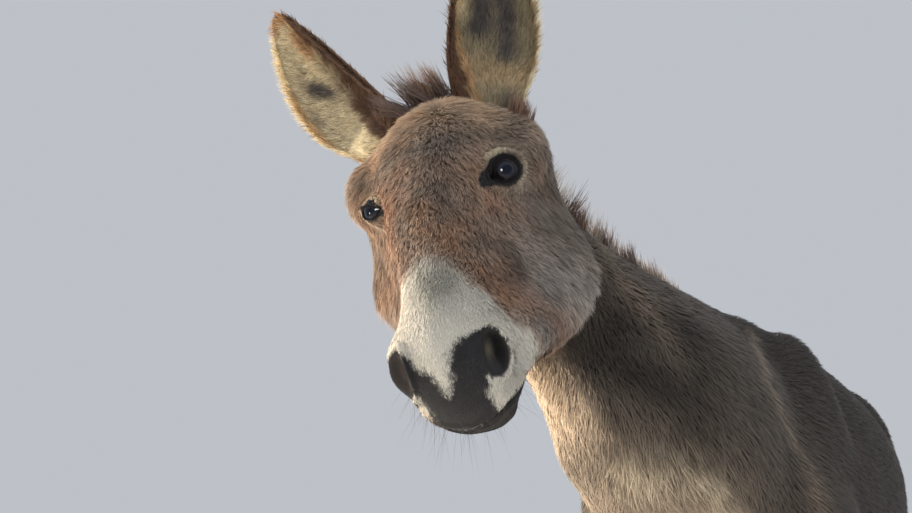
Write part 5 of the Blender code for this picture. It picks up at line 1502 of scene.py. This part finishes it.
    normal = unit(read(normals))
    r_t, r_u, r_in, r_edge = read(tt), read(uu), read(ins), read(edge)
    inside = r_in > 0.5
    sweep = r_u * 0.95 if side > 0 else np.where(r_u < 0.30, -1.25, 0.30)
    sideways = np.where(inside, sweep, r_u * 0.25)
    flow = way + wide * sideways[:, None] + face * np.where(inside, 0.35 * ease(r_edge, 0.5, 0.95), 0)[:, None]
    flow = flow - (flow * normal).sum(1)[:, None] * normal
    near_edge = ease(r_edge, 0.72, 0.97)
    length = np.where(inside, 0.013 + 0.004 * near_edge - 0.004 * ease(r_t, 0.75, 1.0), 0.0095 - 0.002 * ease(r_t, 0.6, 1.0))
    stand = np.where(inside, 0.26 + 0.18 * near_edge, 0.26)
    wide_ = np.full(len(roots), 0.00085) / (math.sqrt(SHARE) if SHARE < 1 else 1)
    uv = np.stack([0.25 + 0.24 * r_u * (1 - 0.0 * r_t) + 0.5 * inside, 0.02 + 0.95 * np.clip((r_t + 0.12) / 1.14, 0, 1)], 1)
    blades(f"coat_ear_{word}", roots, normal, unit(flow), length, wide_, stand, read(low), read(tip), uv, rng, "ear_coat", gather=0.40, cell=0.0065)
    # the fringe along the outer edge
    n = int(1500 * SHARE)
    ft = np.sort(0.02 + 0.90 * rng.random(n) ** 0.9)
    sign = np.where(rng.random(n) < 0.72, side, -side)
    fu = sign * (0.955 - 0.06 * rng.random(n))
    root, way, face, wide = ear_surface(side, ft, fu, inset, inner=True)
    outer_side = sign * side > 0
    flow = way * 0.75 + wide * (sign * 0.62)[:, None] + face * 0.42 + rng.normal(0, 0.16, (n, 3))
    length = (0.013 + 0.010 * rng.random(n)) * (1 - 0.45 * ease(ft, 0.6, 1.0)) * np.where(outer_side, 1.0, 0.6)
    low = np.where(outer_side[:, None], np.tile(EARCREAM * 0.75, (n, 1)), np.tile(BROWN * 1.2, (n, 1)))
    tip = np.where(outer_side[:, None], np.tile(EARCREAM * 1.15, (n, 1)), np.tile(np.array((0.32, 0.19, 0.10)), (n, 1)))
    strands(f"ear_fringe_{word}", root, flow, way * 0.35, length, np.full(n, 0.0008), low, tip,
            np.stack([0.5 + 0.4 * fu, 0.05 + 0.9 * ft], 1), rng, "ear_coat", segments=3)


for side, word in ((1, "left"), (-1, "right")):
    ear_piece(side, word)


# ---------------------------------------------------------------- mane, forelock, tail
def mane_piece():
    crest, throat, _ = neck_curves()
    n = int(3600 * SHARE)
    s = 0.32 + 0.615 * rng.random(n)
    lock = np.floor(s * 62 + 0.35 * rng.random(n)).astype(int)
    lock_off = rng.random((90, 4))
    k = np.linspace(0, 1, len(crest))
    top, low = spline(s, k, crest), spline(s, k, throat)
    up = unit(top - low)
    way = unit(spline(s + 0.01, k, crest) - spline(s - 0.01, k, crest))
    up = unit(up - (up * way).sum(1)[:, None] * way)
    across = np.cross(way, up)
    side = (rng.random(n) - 0.5) * 0.017
    roots = top + across * side[:, None] - up * 0.013
    rise = np.interp(s, (0.32, 0.38, 0.50, 0.70, 0.85, 0.93), (0.010, 0.026, 0.050, 0.072, 0.080, 0.066))
    lean = lock_off[lock, 0] * 0.7 - 0.35
    flow = up + way * (0.22 * (lock_off[lock, 1] - 0.3) + rng.normal(0, 0.12, n))[:, None] + across * (lean * 0.4 + rng.normal(0, 0.10, n) + side * 9)[:, None]
    length = (rise + 0.013) * (0.72 + 0.34 * lock_off[lock, 2]) * (0.70 + 0.36 * rng.random(n))
    dark = (lock_off[lock, 3] > 0.78)[:, None]
    clump = np.clip(np.exp(-((s - 0.50) / 0.030) ** 2) + np.exp(-((s - 0.58) / 0.015) ** 2), 0, 1)[:, None]
    base = np.where(dark, BROWN * 0.7, np.array((0.150, 0.112, 0.088)))
    base = base * (1 - 0.75 * clump) + np.array((0.045, 0.026, 0.022)) * 0.75 * clump
    tip = np.where(dark, np.array((0.160, 0.095, 0.065)), np.array((0.500, 0.400, 0.310)))
    tip = tip * (1 - 0.80 * clump) + np.array((0.105, 0.052, 0.045)) * 0.80 * clump
    uv = np.stack([0.04 + 0.92 * s, 0.5 + side * 20], 1)
    obj = strands("mane_hair", roots, flow, -up * 0.10 + way * 0.10, length, np.full(n, 0.00125), base, tip, uv, rng, "long_hair", segments=5, wave=0.05)
    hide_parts("mane")


def ear_base_locks():
    """The ruddy hair that stands behind the foot of the left ear."""
    n = int(320 * SHARE)
    t = 0.30 + 0.70 * rng.random(n)
    want = np.stack([0.092 + 0.014 * t + rng.normal(0, 0.002, n), 0.048 + 0.052 * t + rng.normal(0, 0.003, n),
                     0.030 + 0.018 * rng.random(n)], 1) @ HEAD_AXES.T + POLL
    near = np.nonzero((to_head(SKIN)[:, 0] > 0.06) & (to_head(SKIN)[:, 1] < 0.13) & (on_head(SKIN) > 0.5))[0]
    pick = np.array([near[np.argmin(np.linalg.norm(SKIN[near] - q, axis=1))] for q in want])
    roots = SKIN[pick] + rng.normal(0, 0.0012, (n, 3))
    flow = SKIN_N[pick] * 0.25 + np.array((0.22, -0.95, 0.05)) @ HEAD_AXES.T + rng.normal(0, 0.07, (n, 3))
    length = (0.044 - 0.018 * t) * (0.7 + 0.5 * rng.random(n))
    ruddy = rng.random(n)[:, None]
    base = mix(np.tile(BROWN * 0.7, (n, 1)), BROWN * 1.4, ruddy)
    tip = mix(np.tile(BROWN * 1.2, (n, 1)), np.array((0.270, 0.160, 0.100)), ruddy)
    strands("ear_base_hair", roots, flow, np.array((0, 0, -0.02)), length, np.full(n, 0.0010), base, tip,
            np.stack([0.2 + 0.6 * t, 0.2 + 0.6 * rng.random(n)], 1), rng, "long_hair", segments=3)


def forelock_piece():
    n = int(1000 * SHARE)
    lock = rng.integers(0, 26, n)
    off = rng.random((26, 5))
    x = (off[lock, 0] - 0.45) * 0.052 + rng.normal(0, 0.004, n)
    a = -0.008 + 0.050 * off[lock, 1] + rng.normal(0, 0.004, n)
    roots = POLL + np.stack([x, a, 0.052 + 0 * x - 0.6 * np.maximum(0, 0.01 - a)], 1) @ HEAD_AXES.T
    aim = np.stack([-0.55 + 1.3 * (off[lock, 2] - 0.45), -0.62 + 0.55 * (off[lock, 3] - 0.5), 0.55 + 0.50 * (off[lock, 4] - 0.5)], 1)
    flow = (unit(aim) + rng.normal(0, 0.055, (n, 3))) @ HEAD_AXES.T
    length = (0.054 + 0.036 * off[lock, 1]) * (0.55 + 0.45 * rng.random(n))
    base = np.tile(np.array((0.075, 0.048, 0.042)), (n, 1)) * (0.7 + 0.6 * off[lock, 3])[:, None]
    tip = np.tile(np.array((0.118, 0.080, 0.068)), (n, 1)) * (0.30 + 1.2 * off[lock, 4])[:, None]
    tip = np.where((off[lock, 2] > 0.70)[:, None], np.array((0.380, 0.220, 0.125)), tip)
    bend = np.array((-0.25, 0.10, 0.05)) @ HEAD_AXES.T
    uv = np.stack([0.5 + x * 5, 0.5 + a * 5], 1)
    obj = strands("forelock_hair", roots, flow, bend, length, np.full(n, 0.0011), base, tip, uv, rng, "long_hair", segments=5, wave=0.04)
    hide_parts("forelock")


def tail_piece():
    n = int(3600 * SHARE)
    t = rng.random(n) ** 0.8
    lock = rng.integers(0, 40, n)
    off = rng.random((40, 3))
    k = np.linspace(0, 1, 5)
    line = spline(0.72 + 0.28 * t, k, TAIL_LINE)
    turn = off[lock, 0] * 6.283 + rng.normal(0, 0.25, n)
    r = 0.011 * np.sqrt(rng.random(n))
    out = np.stack([np.cos(turn), np.sin(turn), 0 * turn], 1)
    roots = line + out * r[:, None]
    drop = roots[:, 2] - 0.378
    length = np.minimum(drop * (0.86 + 0.14 * rng.random(n)), 0.345) * (0.80 + 0.20 * off[lock, 1])
    flow = np.array((0, -0.02, -1.0)) + out * (0.16 + 0.10 * off[lock, 2])[:, None]
    base = np.tile(np.array((0.065, 0.040, 0.028)), (n, 1))
    tip = np.tile(np.array((0.120, 0.080, 0.055)), (n, 1)) * (0.6 + 0.8 * off[lock, 1])[:, None]
    bend = np.stack([-0.15 * out[:, 0], -0.15 * out[:, 1] - 0.03, np.full(n, -0.35)], 1)
    uv = np.stack([0.05 + 0.9 * off[lock, 0], 0.1 + 0.8 * t], 1)
    obj = strands("tail_hair", roots, flow, bend, length, np.full(n, 0.0018), base, tip, uv, rng, "long_hair", segments=8, wave=0.03)
    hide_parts("tail_tuft")


def whiskers():
    n = 120
    side = np.where(rng.random(n) < 0.5, 1, -1)
    place = rng.random(n)
    line = MOUTH[np.minimum((rng.random(n) * 7).astype(int) + 1, 7)]
    off = rng.normal(0, 1, (n, 3)) * (0.004, 0.006, 0.005)
    below = rng.random(n) < 0.6
    h = line * np.stack([side, np.ones(n), np.ones(n)], 1) + off + np.where(below[:, None], (0, -0.012, -0.016), (0, -0.010, 0.012))
    want = POLL + h @ HEAD_AXES.T
    roots = np.empty_like(want)
    norm = np.empty_like(want)
    muzzle = np.nonzero(to_head(SKIN)[:, 1] > 0.36)[0]
    for i in range(n):
        j = muzzle[np.argmin(np.linalg.norm(SKIN[muzzle] - want[i], axis=1))]
        roots[i], norm[i] = SKIN[j], SKIN_N[j]
    flow = norm * 0.8 + np.array((0, 0.45, -0.55)) @ HEAD_AXES.T + rng.normal(0, 0.30, (n, 3))
    strands("whiskers", roots, flow, np.array((0, 0, -0.25)), 0.016 + 0.030 * rng.random(n), np.full(n, 0.00020),
            np.tile(CREAM * 0.10, (n, 1)), np.tile(CREAM * 0.30, (n, 1)), 0.3 + 0.4 * rng.random((n, 2)), rng, "long_hair", segments=4)


mane_piece()
forelock_piece()
ear_base_locks()
tail_piece()
whiskers()


# ---------------------------------------------------------------- hooves
def hoof_piece(kind, side, word):
    ground = -SHIFT[2]
    z = np.concatenate([np.linspace(ground, 0.050, 34), np.linspace(0.0515, 0.0600, 6)])
    count = 72
    rings = leg_rings(kind, side, z, count)
    centre = rings.mean(1, keepdims=True)
    drop = np.where(z < 0.050, 0.0, (z - 0.050) * 0.35)[:, None, None]
    ridge = 0.00045 * np.sin((z - ground) / 0.0052 * 2 * math.pi) * ease(z, ground + 0.003, ground + 0.008)
    rough = 0.0003 * (np.sin(z * 911) + np.sin(z * 1733))
    way = unit(rings - centre)
    soft = 0.0018 * (1 - ease(z, ground, ground + 0.0022))[:, None, None]
    rings = rings + way * (ridge + rough - 0.0010)[:, None, None] - way * (drop + soft)
    pts = np.concatenate([rings, np.broadcast_to(z[:, None, None], rings.shape[:2] + (1,))], 2)
    flat = pts.reshape(-1, 3)
    n = len(flat)
    j = np.arange(count)
    k = (j + 1) % count
    caps = np.array([[*rings[0].mean(0), ground], [*rings[-1].mean(0), z[-1]]])
    faces = np.concatenate([grid_faces(len(z), count, closed=True), np.stack([k, j, np.full(count, n)], 1),
                            np.stack([j + n - count, k + n - count, np.full(count, n + 1)], 1)])
    verts = np.concatenate([flat, caps])
    low = (verts[:, 2] - ground) / 0.055
    tone = mix(np.tile(np.array((0.075, 0.062, 0.050)), (len(verts), 1)), np.array((0.032, 0.027, 0.024)), ease(low, 0.1, 0.9))
    streak = noise(verts * (1, 1, 0.12), 0.0035, 71)
    tone = tone * (0.72 + 0.56 * streak)[:, None]
    tone = mix(tone, np.array((0.130, 0.112, 0.092)), 0.35 * (1 - ease(low, 0.0, 0.10)))
    obj = mesh_of(f"hoof_horn_{kind}_{word}", verts, faces, tone)
    finish_piece(obj, HOOFSTUFF, "hoof", f"hoof_{kind}_{word}")


for kind in ("fore", "hind"):
    for side, word in ((1, "left"), (-1, "right")):
        hoof_piece(kind, side, word)

wet = bpy.data.collections.new("catchlight_on")   # the two small lamps shine on the eyes alone
for word in ("left", "right"):
    wet.objects.link(bpy.data.objects[f"eyeball_{word}"])
    bpy.data.objects[f"spark_{word}"].light_linking.receiver_collection = wet
